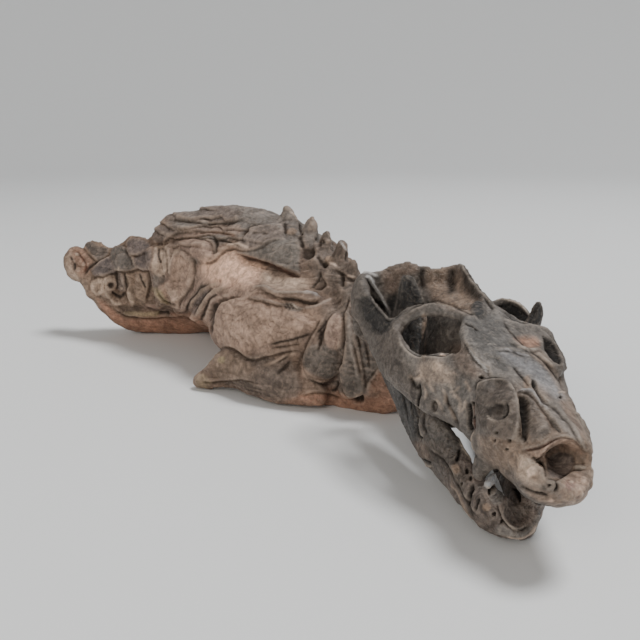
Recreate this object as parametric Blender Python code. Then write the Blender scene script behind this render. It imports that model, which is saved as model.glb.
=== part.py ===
"""Fossil thrinaxodon: a mammal-like reptile's skull and jaw in front of its curled trunk, in the stone.

All sizes below are in millimetres and become metres when a mesh is made.
The specimen rests on its flat stone base: Z is up, X runs from the tail end to the snout, and the
origin is on the base's flat face.  The skull has a frame of its own, with x forward, y to the animal's
left and z up, whose origin is the joint of the skull with the neck, at the height of the tooth row.
"""

import math

import bmesh
import bpy
from mathutils import Matrix, Vector
from mathutils.bvhtree import BVHTree

MM = 0.001
GAP = 0.6                       # clearance cut between touching pieces
STAND_OFF = 0.5                 # and what points keep from the next piece once the meshes are thinned out
SKULL_PLACE = Vector((48.3, 9.8, 12.4))
SKULL_YAW = math.radians(-33.6)     # the head is turned to the animal's right
SKULL_PITCH = math.radians(-1.6)
SKULL_ROLL = math.radians(-12.2)    # and leans on its left side
SKULL_VOXEL = 0.6               # fineness of the skin over the fused shapes
TRUNK_VOXEL = 0.8
CUTTER_VOXEL = 0.7
CRANIUM_TRIANGLES = 3900
JAW_TRIANGLES = 1500
TRUNK_TRIANGLES = 4300
SKULL_WEATHERING = (0.5, 5)     # depth and grain of the unevenness of bone
TRUNK_WEATHERING = (1, 7)       # and of the stone with the bones in it
SKULL_LOOK = ((0.17, 0.14, 0.115), 0.6)     # colour and roughness
JAW_LOOK = ((0.12, 0.095, 0.075), 0.65)
TRUNK_LOOK = ((0.33, 0.235, 0.18), 0.75)
BONE_ROUNDING = 3               # passes of smoothing where fused shapes meet
TRUNK_ROUNDING = 1
CUTTER_ROUNDING = 1
HOLLOW_VOXEL = 0.4
STAND_OFF_PASSES = 6
FLOOR_BLOCK = (400, 300, 40)

# Stations of a strap: lower edge, upper edge, thickness.
MUZZLE = [
    ((80, -0.2, 3), (80, -0.2, 6), 6), ((78, -0.3, 0.5), (78.5, -0.3, 9.5), 9.6),
    ((75, -0.2, -0.5), (75, -0.2, 13), 12.4),
    ((70, -0.2, -1), (70, -0.2, 14.5), 15.4), ((64, -0.3, -0.5), (64, -0.3, 16), 17.4),
    ((57, 0, 1), (57, 0, 18.5), 18.5),
    ((51, 0, 2), (51, 0, 21), 19), ((47, 0, 3), (47, 0, 22), 18),
]
SKULL_ROOF = [
    ((53, 0, 17), (53, 0, 21), 20), ((46, 0, 18.5), (46, 0, 22.5), 19),
    ((40, 0, 20), (40, 0, 24.5), 15),
    ((34, 0, 21), (34, 0, 26), 12), ((28, 0, 21), (28, 0, 27), 8),
]
BRAINCASE = [
    ((40, 0, 6), (40, 0, 22), 7), ((32, 0, 4), (32, 0, 25), 11), ((22, 0, 4), (22, 0, 26), 15),
    ((12, 0, 4), (12, 0, 27), 17), ((3, 0, 4), (3, 0, 26), 18), ((0, 0, 7), (0, 0, 22), 12),
]
PALATE = [
    ((60, 0, 1), (60, 0, 5), 16), ((48, 0, 1.5), (48, 0, 6), 14), ((36, 0, 2), (36, 0, 7), 12),
    ((24, 0, 2), (24, 0, 7), 16), ((8, 0, 2), (8, 0, 8), 20),
]
SAGITTAL_CREST = [
    ((39, 0, 22), (39, 0, 25.4), 3), ((30, 0, 20), (30.2, 0, 28.2), 2.2),
    ((21, 0, 20), (21, 0, 30.6), 2.0),
    ((12, 0, 20), (11, 0, 33.5), 2.0), ((5, 0, 18), (6, 0, 32.4), 2.4),
]
# The crests at the back of the skull run down from its top, the first on the animal's right.
LAMBDOID_CREST = [
    ((8, 1, 18), (8, 0, 32.4), 2.4), ((5, -6, 8), (5.5, -7, 30.8), 2.4),
    ((3, -12, 6), (4.5, -13, 31), 2.4),
    ((2, -18, 7), (3.5, -18.5, 27.4), 2.4), ((3, -22.5, 10), (5, -23.3, 26.6), 3),
]
LEFT_LAMBDOID_CREST = [
    ((8, -1, 18), (8, 0, 31.5), 2.4), ((6, 5, 8), (6.5, 4.5, 28.4), 2.4),
    ((4, 12, 6), (5, 11, 25.2), 2.4),
    ((3, 18, 7), (4, 17.5, 26.5), 2.4), ((3, 22, 10), (4.5, 22.6, 25.3), 3),
]
CHEEK_ARCH = [
    ((62.5, -8, 0), (62, -8, 12), 3), ((58.4, -9.6, 2.6), (56.4, -9.3, 16.2), 3.3),
    ((52.5, -11, 3.4), (50.6, -10.9, 19.2), 3.2),
    ((45, -14.5, 3.4), (45.4, -13.4, 17.8), 3.2), ((38, -18, 4.5), (37, -17.6, 15), 3.2),
    ((30, -19.5, 6), (30, -20, 18), 3),
    ((22, -20.5, 8), (22, -21.5, 20), 3), ((12, -22.5, 13), (12, -23.5, 23), 3),
    ((4, -23, 14), (4, -23.3, 26), 4),
]
LEFT_CHEEK_ARCH = [
    ((62, 7.6, 2), (62, 7.6, 11.5), 3), ((57, 8.7, 3), (56.5, 9.1, 14.6), 3),
    ((51, 10.3, 3), (50, 11.2, 17.4), 3),
    ((45, 12.6, 3), (44.5, 13, 18.8), 3), ((38, 15.8, 4.5), (38, 16.6, 19), 3),
    ((30, 18.5, 6), (31.5, 19, 20.6), 3),
    ((22, 20.5, 8), (22, 20.8, 21.2), 3), ((12, 22, 12), (12, 22.2, 23.4), 3),
    ((4, 22.5, 13), (4, 22.8, 25), 4),
]
EYE_BAR = [
    ((37, -4, 21.5), (35.5, -4, 25.5), 2.4), ((35.5, -8, 22.5), (33.5, -8.5, 25.4), 2.2),
    ((33, -12, 22.4), (30.5, -13, 25.2), 2.0), ((29, -16, 20), (26.5, -16.5, 23.2), 2.2),
    ((28.5, -18.5, 15), (25, -19, 20), 2.6), ((30, -19.8, 11), (26, -20.5, 15), 2.6),
]
LEFT_EYE_BAR = [
    ((37, 4, 21), (35.5, 4, 25), 2.4), ((35, 8, 20.8), (32.5, 8, 23.8), 2.2),
    ((32, 12.5, 20.6), (29.8, 13, 24.2), 2.0), ((30.5, 16.8, 20.2), (28.8, 17.3, 23.7), 2.2),
    ((30, 19, 15.5), (27.5, 19.5, 21), 2.6), ((31.5, 19.2, 11.5), (27.5, 19.8, 15.5), 2.6),
]
BROW = [((51, -9, 18.5), 1.8), ((46.5, -10.3, 20.8), 1.8), ((42, -9, 22.8), 1.7), ((36, -6, 24), 1.7)]
INNER_ROD = [((35, -14.6, 24), 1.1), ((35, -14.2, 18), 1.1), ((35.5, -14.2, 11), 1.3)]
PTERYGOID_FLANGE = [((44, -6, 3), 2.0), ((36, -8, 0), 2.2), ((33, -9, -5), 1.8)]
UPPER_CANINE = [((62.6, -7, 3), 2.4), ((60.6, -7.6, -0.6), 2), ((60.6, -7.4, -4.2), 1.1)]
CONDYLE = [((2, -3.5, 8), 3.4), ((-2.5, -3.5, 8), 2.4)]
SKULL_BLOBS = [
    ((74.4, -0.4, 2.2), (5, 6.9, 3.6)), ((64, -7.8, 9.2), (6.5, 3.2, 6.8)),
    ((65, 5.6, 7.5), (8, 3.2, 6)),
    ((30, -4.5, 24.5), (2.2, 1.8, 2.2)),
]
NOSTRILS = [
    ((79, 0, 8.3), (6, 5.7, 3.7)), ((74, 0.2, 7.6), (7, 2.6, 2.6)), ((74.5, -4.4, 6.9), (4, 1.5, 1.7)),
]
LIP_FORAMEN = ((66, -10.2, 12.5), (1.7, 1.5, 1.2))
# Grooves cut along the snout, and the slot between the snout and the cheek.
SNOUT_GROOVES = [
    [((62.5, -4.4, 16.2), 0.8), ((66.3, -5, 15), 1.3), ((69.9, -5.7, 13.2), 1.3),
     ((72.8, -6.3, 10.8), 0.8)],
    [((58.5, -1, 18), 0.6), ((62, -1.6, 17.1), 0.9), ((66, -1.9, 15.8), 0.6)],
    [((56.3, -11.6, 12.4), 0.7), ((57.6, -11.6, 9.5), 1.1), ((59.2, -11.2, 6.2), 1.1),
     ((60.4, -10.8, 3.6), 0.8)],
]
SNOUT_RIM = [((55.5, -7.6, 16.2), 1), ((59.5, -5.9, 16.7), 1.2), ((64.5, -6.3, 15), 1.3),
             ((69.3, -7.4, 12.2), 1.3), ((71.2, -7.8, 9), 1)]
BROW_LEDGE = [((47.5, -11.6, 20.9), 1.3), ((51.5, -10, 19), 1.1), ((54.5, -7.9, 17.2), 0.8)]

JAW_BRANCH = [
    ((67, 1.6, -12.2), (67.5, 1.6, -6), 5.2), ((62.5, -2.5, -13.8), (63.5, -3, -5.5), 6),
    ((55, -5, -12), (56, -7, -4), 5.5),
    ((47.2, -6.2, -11.1), (48, -10.8, 2.2), 5), ((38, -7.8, -10.1), (40, -13.6, 4.2), 4.8),
    ((28.6, -9, -7.2), (30, -15, 5.2), 4.8),
    ((19.6, -10.8, -2.8), (19, -15.6, 7), 4.4), ((11, -13.8, 3), (11, -16.5, 9.5), 4),
    ((4, -16.5, 8), (4, -17.3, 12), 4),
]
CORONOID = [
    ((18, -12.5, -2), (40, -10.5, -4), 3.6), ((16.5, -15.5, 6), (36, -12.2, 5), 3.2),
    ((16, -16.8, 14), (30, -13, 13), 2.8),
    ((16.5, -17, 22), (25.5, -12.4, 22), 2.4), ((18.5, -17.8, 28.9), (22, -16.4, 28.9), 2),
]
LEFT_CORONOID = [
    ((18, 12.5, -2), (40, 10.5, -4), 3.6), ((16.5, 16.5, 6), (36, 12.2, 5), 3.2),
    ((16, 18.5, 14), (29, 13, 13), 2.8),
    ((19, 20, 21), (24.6, 13.4, 21), 2.6), ((21.8, 18.9, 25.4), (22.6, 14.9, 25.4), 2.3),
    ((22.6, 17.2, 29), (22.6, 15.6, 29), 1.6),
]
LOWER_CANINE = [((61, -5, -8), 2.2), ((61.5, -6, -3.5), 1.8), ((61.8, -6.2, 0), 1.2)]
CHIN_HOLLOW = ((68.5, 1, -6.5), (5, 4.2, 4.2))

# The trunk's sections across X: each ring of (y, z) starts where the near side meets the floor.
TRUNK = [
    (-97, (-12, 24), (-14, 25), (-15, 27), (-14, 29), (-12, 30), (-10, 29), (-9, 27), (-10, 25)),
    (-91, (-8, 12), (-12.6, 18), (-16, 26), (-15, 30.4), (-10, 32.6), (-4, 30.4), (0, 23), (-2, 13)),
    (-83, (0, 1.4), (-7.4, 6.8), (-11, 20), (-10, 30.4), (-4, 33.4), (4, 31), (9, 20), (7, 2)),
    (-74, (10.4, -1), (0.6, 4.8), (-6, 20), (-6, 31.4), (1, 35.6), (10, 33.4), (16, 18), (16, -1)),
    (-62, (23, -1), (6, 8), (-4, 22), (-3, 33.6), (8, 39.8), (18, 37.6), (26, 18), (27, -1)),
    (-48, (29, -1), (7, 10), (-4, 24), (-3, 36), (10, 45.4), (25, 41), (33, 20), (34, -1)),
    (-34, (20, -1), (1, 12), (-5, 24), (-3, 37), (12, 48.4), (29, 43), (38, 20), (35, -1)),
    (-18, (0, -1), (-6, 9), (-8, 22), (-3, 37), (14, 50), (31, 42), (40, 20), (37, -1)),
    (-3, (-6, -1), (-9.6, 7), (-11, 21), (-3, 34), (14, 46.5), (29, 38.6), (39, 19), (36, -1)),
    (12, (-7, -1), (-9.4, 6), (-10, 20), (-2, 32), (11, 41), (24, 34), (33, 18), (31, -1)),
    (25, (2, -1), (-1.4, 6), (-3, 18), (1, 28), (9, 33.6), (18, 29), (27, 16), (24, -1)),
    (37, (5.6, -1), (1.6, 6), (0, 15), (2, 24.6), (9, 28.6), (17, 25.4), (21, 14), (18, -1)),
    (47, (6, 5), (4, 8), (3, 15), (4, 22), (9, 25.6), (14, 22.4), (16, 15), (13, 7)),
]

# Bones that stand out of the trunk's right flank, by their two edges and thickness.
FLANK_PLATES = [
    # slabs along the back
    [((-52, 8, 45), (-51, 13, 47.8), 3), ((-44, 6.5, 46.5), (-43, 12, 50.4), 3),
     ((-34, 6.5, 47), (-33, 12, 51.6), 3),
     ((-24, 6.5, 46.6), (-25, 12, 51.8), 3), ((-16, 9, 46.5), (-17, 14, 51), 3)],
    [((-62.6, 1, 41), (-62.6, 6, 46), 3), ((-58, 2, 42.5), (-59, 8, 46.8), 3),
     ((-50, 3, 44), (-50, 9, 48), 3),
     ((-40, 4, 45), (-40, 9, 48), 3)],
    [((-63, -1.5, 36.6), (-63, 1.5, 41.4), 3), ((-57, -1, 39), (-58, 3, 43), 3),
     ((-46, 0, 42), (-47, 4, 45), 3),
     ((-38, 1, 43), (-38, 5, 45.5), 3)],
    [((-23, 2.5, 43), (-23, 7, 47), 3), ((-14, 3, 42.3), (-14, 9, 47.7), 3.4),
     ((-5, 5.5, 43.5), (-5, 12, 47.5), 3)],
    # shoulder blade
    [((-19, -0.8, 39), (-18, 0, 41), 1.6), ((-10, 0, 39.6), (-9, 4.5, 43.5), 3),
     ((-2, 0.3, 38.6), (-2, 8, 44.6), 3.4),
     ((5, 1.2, 37.6), (3, 9.5, 44.2), 3.4), ((10, 2, 36.6), (8, 9, 42.4), 2.2)],
    # round plate of the shoulder
    [((-22, -6.5, 13), (-20, -6.5, 20), 3.4), ((-14, -8.6, 10.5), (-13, -8.8, 25), 4.6),
     ((0, -11.2, 11.5), (0, -9, 28), 5), ((12, -9.8, 13), (13, -6.4, 27.5), 4.6),
     ((21, -5.8, 15), (22, -3.4, 24.5), 3.4)],
    # right fore limb
    [((-15.4, -18.8, 0.2), (-16.2, -19.2, 3.3), 3), ((-10, -16, 0.8), (-12.2, -16.4, 7.2), 4),
     ((-2, -13.5, 1.6), (-8.2, -13.4, 12.4), 4.6),
     ((8, -13, 0.6), (6, -12.4, 12), 5), ((18, -9.4, 0.8), (17, -8.8, 11), 5),
     ((26, -4, 1.5), (26, -3.4, 9), 4)],
    # bones of the neck
    [((19.8, -7, 10), (28.5, -3, 11.5), 2.4), ((20.4, -6.8, 15), (28.5, -2.8, 16), 2.8),
     ((21, -6.4, 18.5), (27, -3, 19.5), 2.2)],
    [((20.5, -6.4, 16), (23, -5.2, 16), 2.2), ((20.8, -3.8, 24), (23, -2.6, 25), 2),
     ((22.5, -0.5, 29), (25, 0, 30), 1.6)],
    [((23.4, -3.8, 18), (29.2, -2, 18.5), 2.4), ((23.6, -3.2, 23), (28.6, -0.8, 23), 3),
     ((24.6, -0.4, 28), (27, 0.5, 28.5), 2)],
    [((29.8, -2.2, 4.5), (36, -0.6, 5), 3), ((30.6, -2.6, 11), (36.4, -1.2, 12), 3.2),
     ((31, -2.4, 18.5), (33.8, -1.6, 18.5), 2.8),
     ((28.6, -0.2, 26.3), (31.5, 0.5, 26.5), 2.8), ((25.5, 4.5, 33), (28, 5.5, 34), 2.4)],
    [((37.4, 0, 5.5), (40, 1.6, 6.5), 2.4), ((35, -1.4, 19), (37.5, -0.2, 19), 2.4),
     ((32.4, 0.4, 26), (34.6, 1.4, 26.5), 2)],
    # overlapping plates near the hind end
    [((-86.5, -13, 24), (-86, -12, 30), 2), ((-80, -11, 25.5), (-80.5, -9.5, 31.5), 2.6),
     ((-75, -8.6, 26), (-75, -7.6, 29.5), 2)],
    [((-82, -8.5, 29.5), (-82.5, -6.5, 34), 2), ((-76, -8.6, 27.5), (-78, -5.5, 36.5), 2.6),
     ((-68, -6.6, 27.5), (-70, -4.8, 34), 2)],
    [((-75.5, -5.4, 33), (-76.5, -3, 36.5), 2), ((-69, -6.2, 31), (-71, -2.5, 39.8), 2.6),
     ((-62, -3, 34.5), (-63, -0.5, 38.5), 2)],
    [((-69, -6.4, 29.5), (-69.5, -6, 32), 2), ((-63, -6.2, 28), (-63, -3.4, 35.5), 2.6),
     ((-55.5, -5.2, 28.5), (-57, -3.8, 34.5), 2)],
    [((-93, -10.5, 32), (-93.5, -9, 36), 1.8), ((-87, -9.5, 32.5), (-87, -8, 36.4), 2),
     ((-81.5, -8, 33), (-81, -7.5, 35), 1.6)],
    # flat bone between the loin and the ribs
    [((-47, -2, 36), (-48, -1, 39), 2), ((-38, -4.4, 36), (-38, -0.6, 41), 3),
     ((-30, -5, 35.4), (-29, -1.4, 40.4), 3),
     ((-24.5, -4, 36.2), (-24, -2, 39), 2)],
]
# Blades of the backbone, from the root up: rear edge, front edge, thickness.
SPINES = [
    [((-13, 13, 45), (-3, 13, 45), 4), ((-12, 15, 49.2), (-4.6, 14.8, 49), 2.8),
     ((-11.6, 15.4, 52.4), (-7.4, 15.2, 51.6), 2.3), ((-11, 15.6, 54), (-9.6, 15.6, 53.7), 1.8)],
    [((-1.5, 11, 42.5), (7.5, 11, 42), 4), ((0.8, 12.3, 46.8), (6.6, 12.1, 46.4), 2.8),
     ((1.6, 12.8, 49.8), (5.4, 12.7, 49.4), 2.4), ((2.8, 13, 51.8), (4.2, 13, 51.5), 1.8)],
    [((6.5, 9.5, 40), (15, 9, 39.5), 4), ((9.2, 10.4, 45), (15, 10.2, 44.6), 2.8),
     ((10.2, 10.8, 48.2), (14.2, 10.7, 47.6), 2.4), ((11.4, 11, 50), (13.4, 11, 49.8), 1.8)],
    [((14.5, 8, 37), (22, 7.5, 36), 4), ((16.8, 8.8, 42.2), (22.6, 8.6, 41.6), 2.8),
     ((17.4, 9.1, 45.4), (22, 9, 44.8), 2.4), ((19, 9.2, 47.8), (21.2, 9.2, 47.2), 1.8)],
    [((20, 7.5, 33.5), (27.5, 7, 33), 4), ((22.6, 7.9, 38), (27.4, 7.8, 37.6), 2.8),
     ((23.8, 8, 41.2), (27.2, 8, 40.6), 2.4), ((24.4, 8.1, 43.2), (26.2, 8.1, 42.6), 1.8)],
]
# Long bones on the right flank: points with a radius at each.
FLANK_RODS = [
    [((-9, -6.6, 30), 1.0), ((-2, -6.2, 31.8), 1.6), ((7, -5.4, 31.6), 1.8), ((15, -2.8, 31.6), 1.9),
     ((21, -1, 30), 1.1)],
    [((-12, -8, 28.6), 0.9), ((2, -7.4, 29.4), 1.2), ((14, -4.6, 28.8), 1.4), ((24, -0.6, 28), 1.2)],
    [((-21.6, -7, 29.5), 1.4), ((-30, -6.2, 25), 1.6), ((-38, -4.6, 20.5), 1.5),
     ((-50, -0.4, 13.5), 1.2)],
    [((-12.3, -7.4, 30.3), 1.4), ((-20, -8.2, 26), 1.7), ((-27, -7.4, 21), 1.6),
     ((-38, -3, 14.5), 1.3)],
    [((-71.5, -7.2, 26), 2.4), ((-69.5, -5.8, 20), 2.6), ((-73, -3.2, 13.5), 1.8)],
    [((-63, -5.8, 27), 2.2), ((-65, -4, 20), 2.4), ((-66.5, -1, 14), 1.8)],
    [((-60, -2.8, 36), 2), ((-54, -5.6, 31), 2.6), ((-53.5, -4.6, 22), 2.4), ((-60, -0.6, 14), 1.8)],
    [((-50.4, -2.6, 38), 1.8), ((-45.7, -6, 30), 2), ((-46.5, -3.6, 22), 1.8), ((-51, 0.4, 14), 1.6)],
]
FLANK_BLOBS = [
    ((-97, -12.2, 26.8), (5.2, 5, 7.2)), ((-87, -12.4, 19.6), (3.4, 3, 4.6)),
    ((-80, -10, 20.6), (4.8, 3, 4.8)),
    ((-20, 10, 47.5), (4, 3, 2.6)), ((-6, 9.6, 45.8), (3.4, 2.4, 2.6)), ((4.5, 8, 43), (3.2, 2.4, 2.6)),
    ((12, 6.2, 39.4), (3, 2.4, 2.6)), ((19, 5.6, 36.2), (3, 2.4, 2.6)), ((25, 5, 33), (2.8, 2.2, 2.4)),
]
FLANK_PIT = ((-79.5, -13, 21), (2.2, 4, 2.4))
# The left flank's ribs are even and lean back, counted in steps of the trunk's smoothed sections.
SECTION_STEPS = 5
LEFT_RIB_FIRST = 46
LEFT_RIB_SPACING = 4
LEFT_RIBS = 7
LEFT_RIB_LEAN = 2
LEFT_RIB_RADII = (1.8, 2, 2.1, 1.6)


def catmull(p0, p1, p2, p3, t):
    """The point at t on the smooth curve from p1 to p2."""
    bend = 2 * p0 - 5 * p1 + 4 * p2 - p3
    return 0.5 * (2 * p1 + (p2 - p0) * t + bend * t * t + (3 * p1 - 3 * p2 + p3 - p0) * t ** 3)


def smooth_run(values, steps):
    """Vectors between the given ones, on one smooth curve through them all."""
    ends = [values[0] * 2 - values[1], *values, values[-1] * 2 - values[-2]]
    run = []
    for i in range(len(values) - 1):
        for k in range(steps):
            run.append(catmull(*ends[i:i + 4], k / steps))
    return run + [values[-1]]


def section(centre, long_half, short_half, sides, boxiness):
    """A ring of points round a superellipse."""
    ring = []
    for i in range(sides):
        angle = 2 * math.pi * i / sides
        c, s = math.cos(angle), math.sin(angle)
        power = 2 / boxiness
        along = long_half * math.copysign(abs(c) ** power, c)
        ring.append(centre + along + short_half * math.copysign(abs(s) ** power, s))
    return ring


def skin(bm, rings):
    """A closed tube through rings of points."""
    loops = [[bm.verts.new(p * MM) for p in ring] for ring in rings]
    sides = len(loops[0])
    for a, b in zip(loops, loops[1:]):
        for i in range(sides):
            j = (i + 1) % sides
            bm.faces.new((a[i], a[j], b[j], b[i]))
    bm.faces.new(loops[0][::-1])
    bm.faces.new(loops[-1])


def strap(bm, stations, mirror=1, steps=4, sides=16, boxiness=2.6):
    """A plate or bar whose section has a lower edge, an upper edge and a thickness at each station."""
    flip = Vector((1, mirror, 1))
    lows = smooth_run([Vector(s[0]) * flip for s in stations], steps)
    highs = smooth_run([Vector(s[1]) * flip for s in stations], steps)
    thick = smooth_run([Vector((s[2], 0, 0)) for s in stations], steps)
    rings = []
    for i, (low, high) in enumerate(zip(lows, highs)):
        before, after = max(i - 1, 0), min(i + 1, len(lows) - 1)
        along = (lows[after] + highs[after]) - (lows[before] + highs[before])
        across = along.cross(high - low).normalized()
        half, side = (high - low) / 2, across * thick[i].x / 2
        rings.append(section(low + half, half, side, sides, boxiness))
    skin(bm, rings)


def rod(bm, stations, mirror=1, steps=4, sides=10):
    """A round bar through points with a radius at each."""
    flip = Vector((1, mirror, 1))
    points = smooth_run([Vector(s[0]) * flip for s in stations], steps)
    radii = smooth_run([Vector((s[1], 0, 0)) for s in stations], steps)
    rings = []
    for i, point in enumerate(points):
        along = points[min(i + 1, len(points) - 1)] - points[max(i - 1, 0)]
        if i == 0:
            side = along.orthogonal()
        side = (side - along * side.dot(along) / along.length_squared).normalized()
        up = along.cross(side).normalized()
        rings.append(section(point, side * radii[i].x, up * radii[i].x, sides, 2))
    skin(bm, rings)


def blob(bm, centre, radii):
    """An ellipsoid."""
    place = Matrix.Translation(Vector(centre) * MM) @ Matrix.Diagonal((*(Vector(radii) * MM), 1))
    bmesh.ops.create_icosphere(bm, subdivisions=3, radius=1, matrix=place)


def object_from(name, bm, place=Matrix.Identity(4)):
    """A new object of this mesh, in its place."""
    bm.transform(place)
    bmesh.ops.recalc_face_normals(bm, faces=bm.faces)
    mesh = bpy.data.meshes.new(name)
    bm.to_mesh(mesh)
    bm.free()
    obj = bpy.data.objects.new(name, mesh)
    bpy.context.scene.collection.objects.link(obj)
    return obj


def add_modifier(obj, kind, **settings):
    modifier = obj.modifiers.new(kind.title(), kind)
    for name, value in settings.items():
        setattr(modifier, name, value)
    return modifier


def settle(obj):
    """Applies every modifier of the object."""
    bpy.context.view_layer.update()
    graph = bpy.context.evaluated_depsgraph_get()
    mesh = bpy.data.meshes.new_from_object(obj.evaluated_get(graph))
    obj.modifiers.clear()
    obj.data = mesh
    return obj


def fuse(obj, voxel, smooth):
    """Makes overlapping shapes one skin and rounds where they meet."""
    add_modifier(obj, "REMESH", mode="VOXEL", voxel_size=voxel * MM)
    add_modifier(obj, "SMOOTH", factor=0.5, iterations=smooth)
    return settle(obj)


def cut(obj, cutter):
    add_modifier(obj, "BOOLEAN", operation="DIFFERENCE", object=cutter, solver="EXACT")
    settle(obj)
    bpy.data.objects.remove(cutter)
    return obj


def thin_out(obj, triangles):
    """Brings the mesh down to about this many triangles."""
    now = sum(len(p.vertices) - 2 for p in obj.data.polygons)
    share = min(1, triangles / now)
    add_modifier(obj, "DECIMATE", decimate_type="COLLAPSE", ratio=share, use_collapse_triangulate=True)
    return settle(obj)


def skull_place():
    lean = Matrix.Rotation(SKULL_PITCH, 4, "Y") @ Matrix.Rotation(SKULL_ROLL, 4, "X")
    return Matrix.Translation(SKULL_PLACE * MM) @ Matrix.Rotation(SKULL_YAW, 4, "Z") @ lean


def make_cranium():
    bm = bmesh.new()
    strap(bm, MUZZLE, sides=20)
    for stations in (SKULL_ROOF, BRAINCASE, PALATE, SAGITTAL_CREST, LAMBDOID_CREST, LEFT_LAMBDOID_CREST):
        strap(bm, stations)
    for stations in (CHEEK_ARCH, LEFT_CHEEK_ARCH, EYE_BAR, LEFT_EYE_BAR):
        strap(bm, stations)
    for mirror in (1, -1):
        for stations in (BROW, PTERYGOID_FLANGE, UPPER_CANINE, CONDYLE):
            rod(bm, stations, mirror)
    for stations in (INNER_ROD, SNOUT_RIM, BROW_LEDGE):
        rod(bm, stations)
    for centre, radii in SKULL_BLOBS:
        blob(bm, centre, radii)
    obj = fuse(object_from("cranium", bm), SKULL_VOXEL, BONE_ROUNDING)
    cut(obj, blobs("nostril_cutter", [*NOSTRILS, LIP_FORAMEN]))
    grooves = bmesh.new()
    for stations in SNOUT_GROOVES:
        rod(grooves, stations)
    cut(obj, object_from("groove_cutter", grooves))
    obj.data.transform(skull_place())
    return obj


def blobs(name, shapes):
    """One object of overlapping ellipsoids."""
    bm = bmesh.new()
    for centre, radii in shapes:
        blob(bm, centre, radii)
    return fuse(object_from(name, bm), HOLLOW_VOXEL, CUTTER_ROUNDING)


def make_lower_jaw():
    bm = bmesh.new()
    strap(bm, CORONOID)
    strap(bm, LEFT_CORONOID)
    for mirror in (1, -1):
        strap(bm, JAW_BRANCH, mirror)
        rod(bm, LOWER_CANINE, mirror)
    obj = fuse(object_from("lower_jaw", bm), SKULL_VOXEL, BONE_ROUNDING)
    cut(obj, blobs("hollow_cutter", [CHIN_HOLLOW]))
    obj.data.transform(skull_place())
    return obj


def trunk_lines():
    """The eight lengthwise lines of the block that the trunk's bones lie in."""
    lines = []
    for side in range(8):
        corners = [Vector((station[0], *station[side + 1])) for station in TRUNK]
        lines.append(smooth_run(corners, SECTION_STEPS))
    return lines


def trunk_body(bm, lines):
    rings = []
    for corners in zip(*lines):
        closed = [*corners, *corners[:3]]
        ring = []
        for i in range(8):
            for k in range(4):
                ring.append(catmull(corners[i - 1], *closed[i:i + 3], k / 4))
        rings.append(ring)
    skin(bm, rings)


def make_trunk():
    bm = bmesh.new()
    lines = trunk_lines()
    trunk_body(bm, lines)
    for stations in FLANK_PLATES + SPINES:
        strap(bm, stations)
    for stations in FLANK_RODS:
        rod(bm, stations)
    for i in range(LEFT_RIBS):
        at = LEFT_RIB_FIRST - LEFT_RIB_SPACING * i
        spots = [lines[4 + k][at - LEFT_RIB_LEAN * k] for k in range(4)]
        spots[3] = (spots[2] + spots[3]) / 2
        rod(bm, list(zip(spots, LEFT_RIB_RADII)))
    for centre, radii in FLANK_BLOBS:
        blob(bm, centre, radii)
    obj = fuse(object_from("trunk", bm), TRUNK_VOXEL, TRUNK_ROUNDING)
    return cut(obj, blobs("pit_cutter", [FLANK_PIT]))


def close_up(obj, voxel):
    """One even, closed skin again after a cut."""
    add_modifier(obj, "REMESH", mode="VOXEL", voxel_size=voxel * MM)
    return settle(keep_largest(obj))


def roughen(obj, weathering):
    """Works a seeded unevenness into the surface."""
    depth, grain = weathering
    noise = bpy.data.textures.new(obj.name + "_noise", "CLOUDS")
    noise.noise_scale = grain * MM
    noise.noise_depth = 3
    add_modifier(obj, "DISPLACE", texture=noise, strength=depth * MM, mid_level=0.5)
    return settle(obj)


def swollen(obj, name):
    """A cutter: the object grown by the clearance on every side."""
    cutter = obj.copy()
    cutter.data = obj.data.copy()
    cutter.name = name
    bpy.context.scene.collection.objects.link(cutter)
    add_modifier(cutter, "DISPLACE", strength=GAP * MM, mid_level=0)
    add_modifier(cutter, "REMESH", mode="VOXEL", voxel_size=CUTTER_VOXEL * MM)
    return keep_largest(settle(cutter))


def stand_off(obj, other):
    """Moves the object's surface away from the other one where it comes closer than the least gap."""
    kept = [v.co for v in other.data.vertices]
    fixed = BVHTree.FromPolygons(kept, [p.vertices for p in other.data.polygons])
    verts = obj.data.vertices
    faces = [tuple(p.vertices) for p in obj.data.polygons]
    for _ in range(STAND_OFF_PASSES):
        for vert in verts:
            near, normal, _, distance = fixed.find_nearest(vert.co)
            away = vert.co - near
            if away.dot(normal) < 0:
                vert.co = near + normal * STAND_OFF * MM
            elif distance < STAND_OFF * MM:
                vert.co = near + away.normalized() * STAND_OFF * MM
        moving = BVHTree.FromPolygons([v.co for v in verts], faces)
        for point in other.data.vertices:
            near, normal, face, distance = moving.find_nearest(point.co)
            if distance > STAND_OFF * MM:
                continue
            away = near - point.co
            step = STAND_OFF * MM - distance
            if away.dot(normal) > 0:
                away, step = -away, STAND_OFF * MM + distance
            for i in faces[face]:
                verts[i].co += away.normalized() * step
    return obj


def floor_block():
    """A cutter that holds everything below the floor."""
    bm = bmesh.new()
    low = Matrix.Translation(Vector((0, 0, -FLOOR_BLOCK[2] / 2)) * MM)
    bmesh.ops.create_cube(bm, size=1, matrix=low @ Matrix.Diagonal((*(Vector(FLOOR_BLOCK) * MM), 1)))
    return object_from("floor_cutter", bm)


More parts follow.
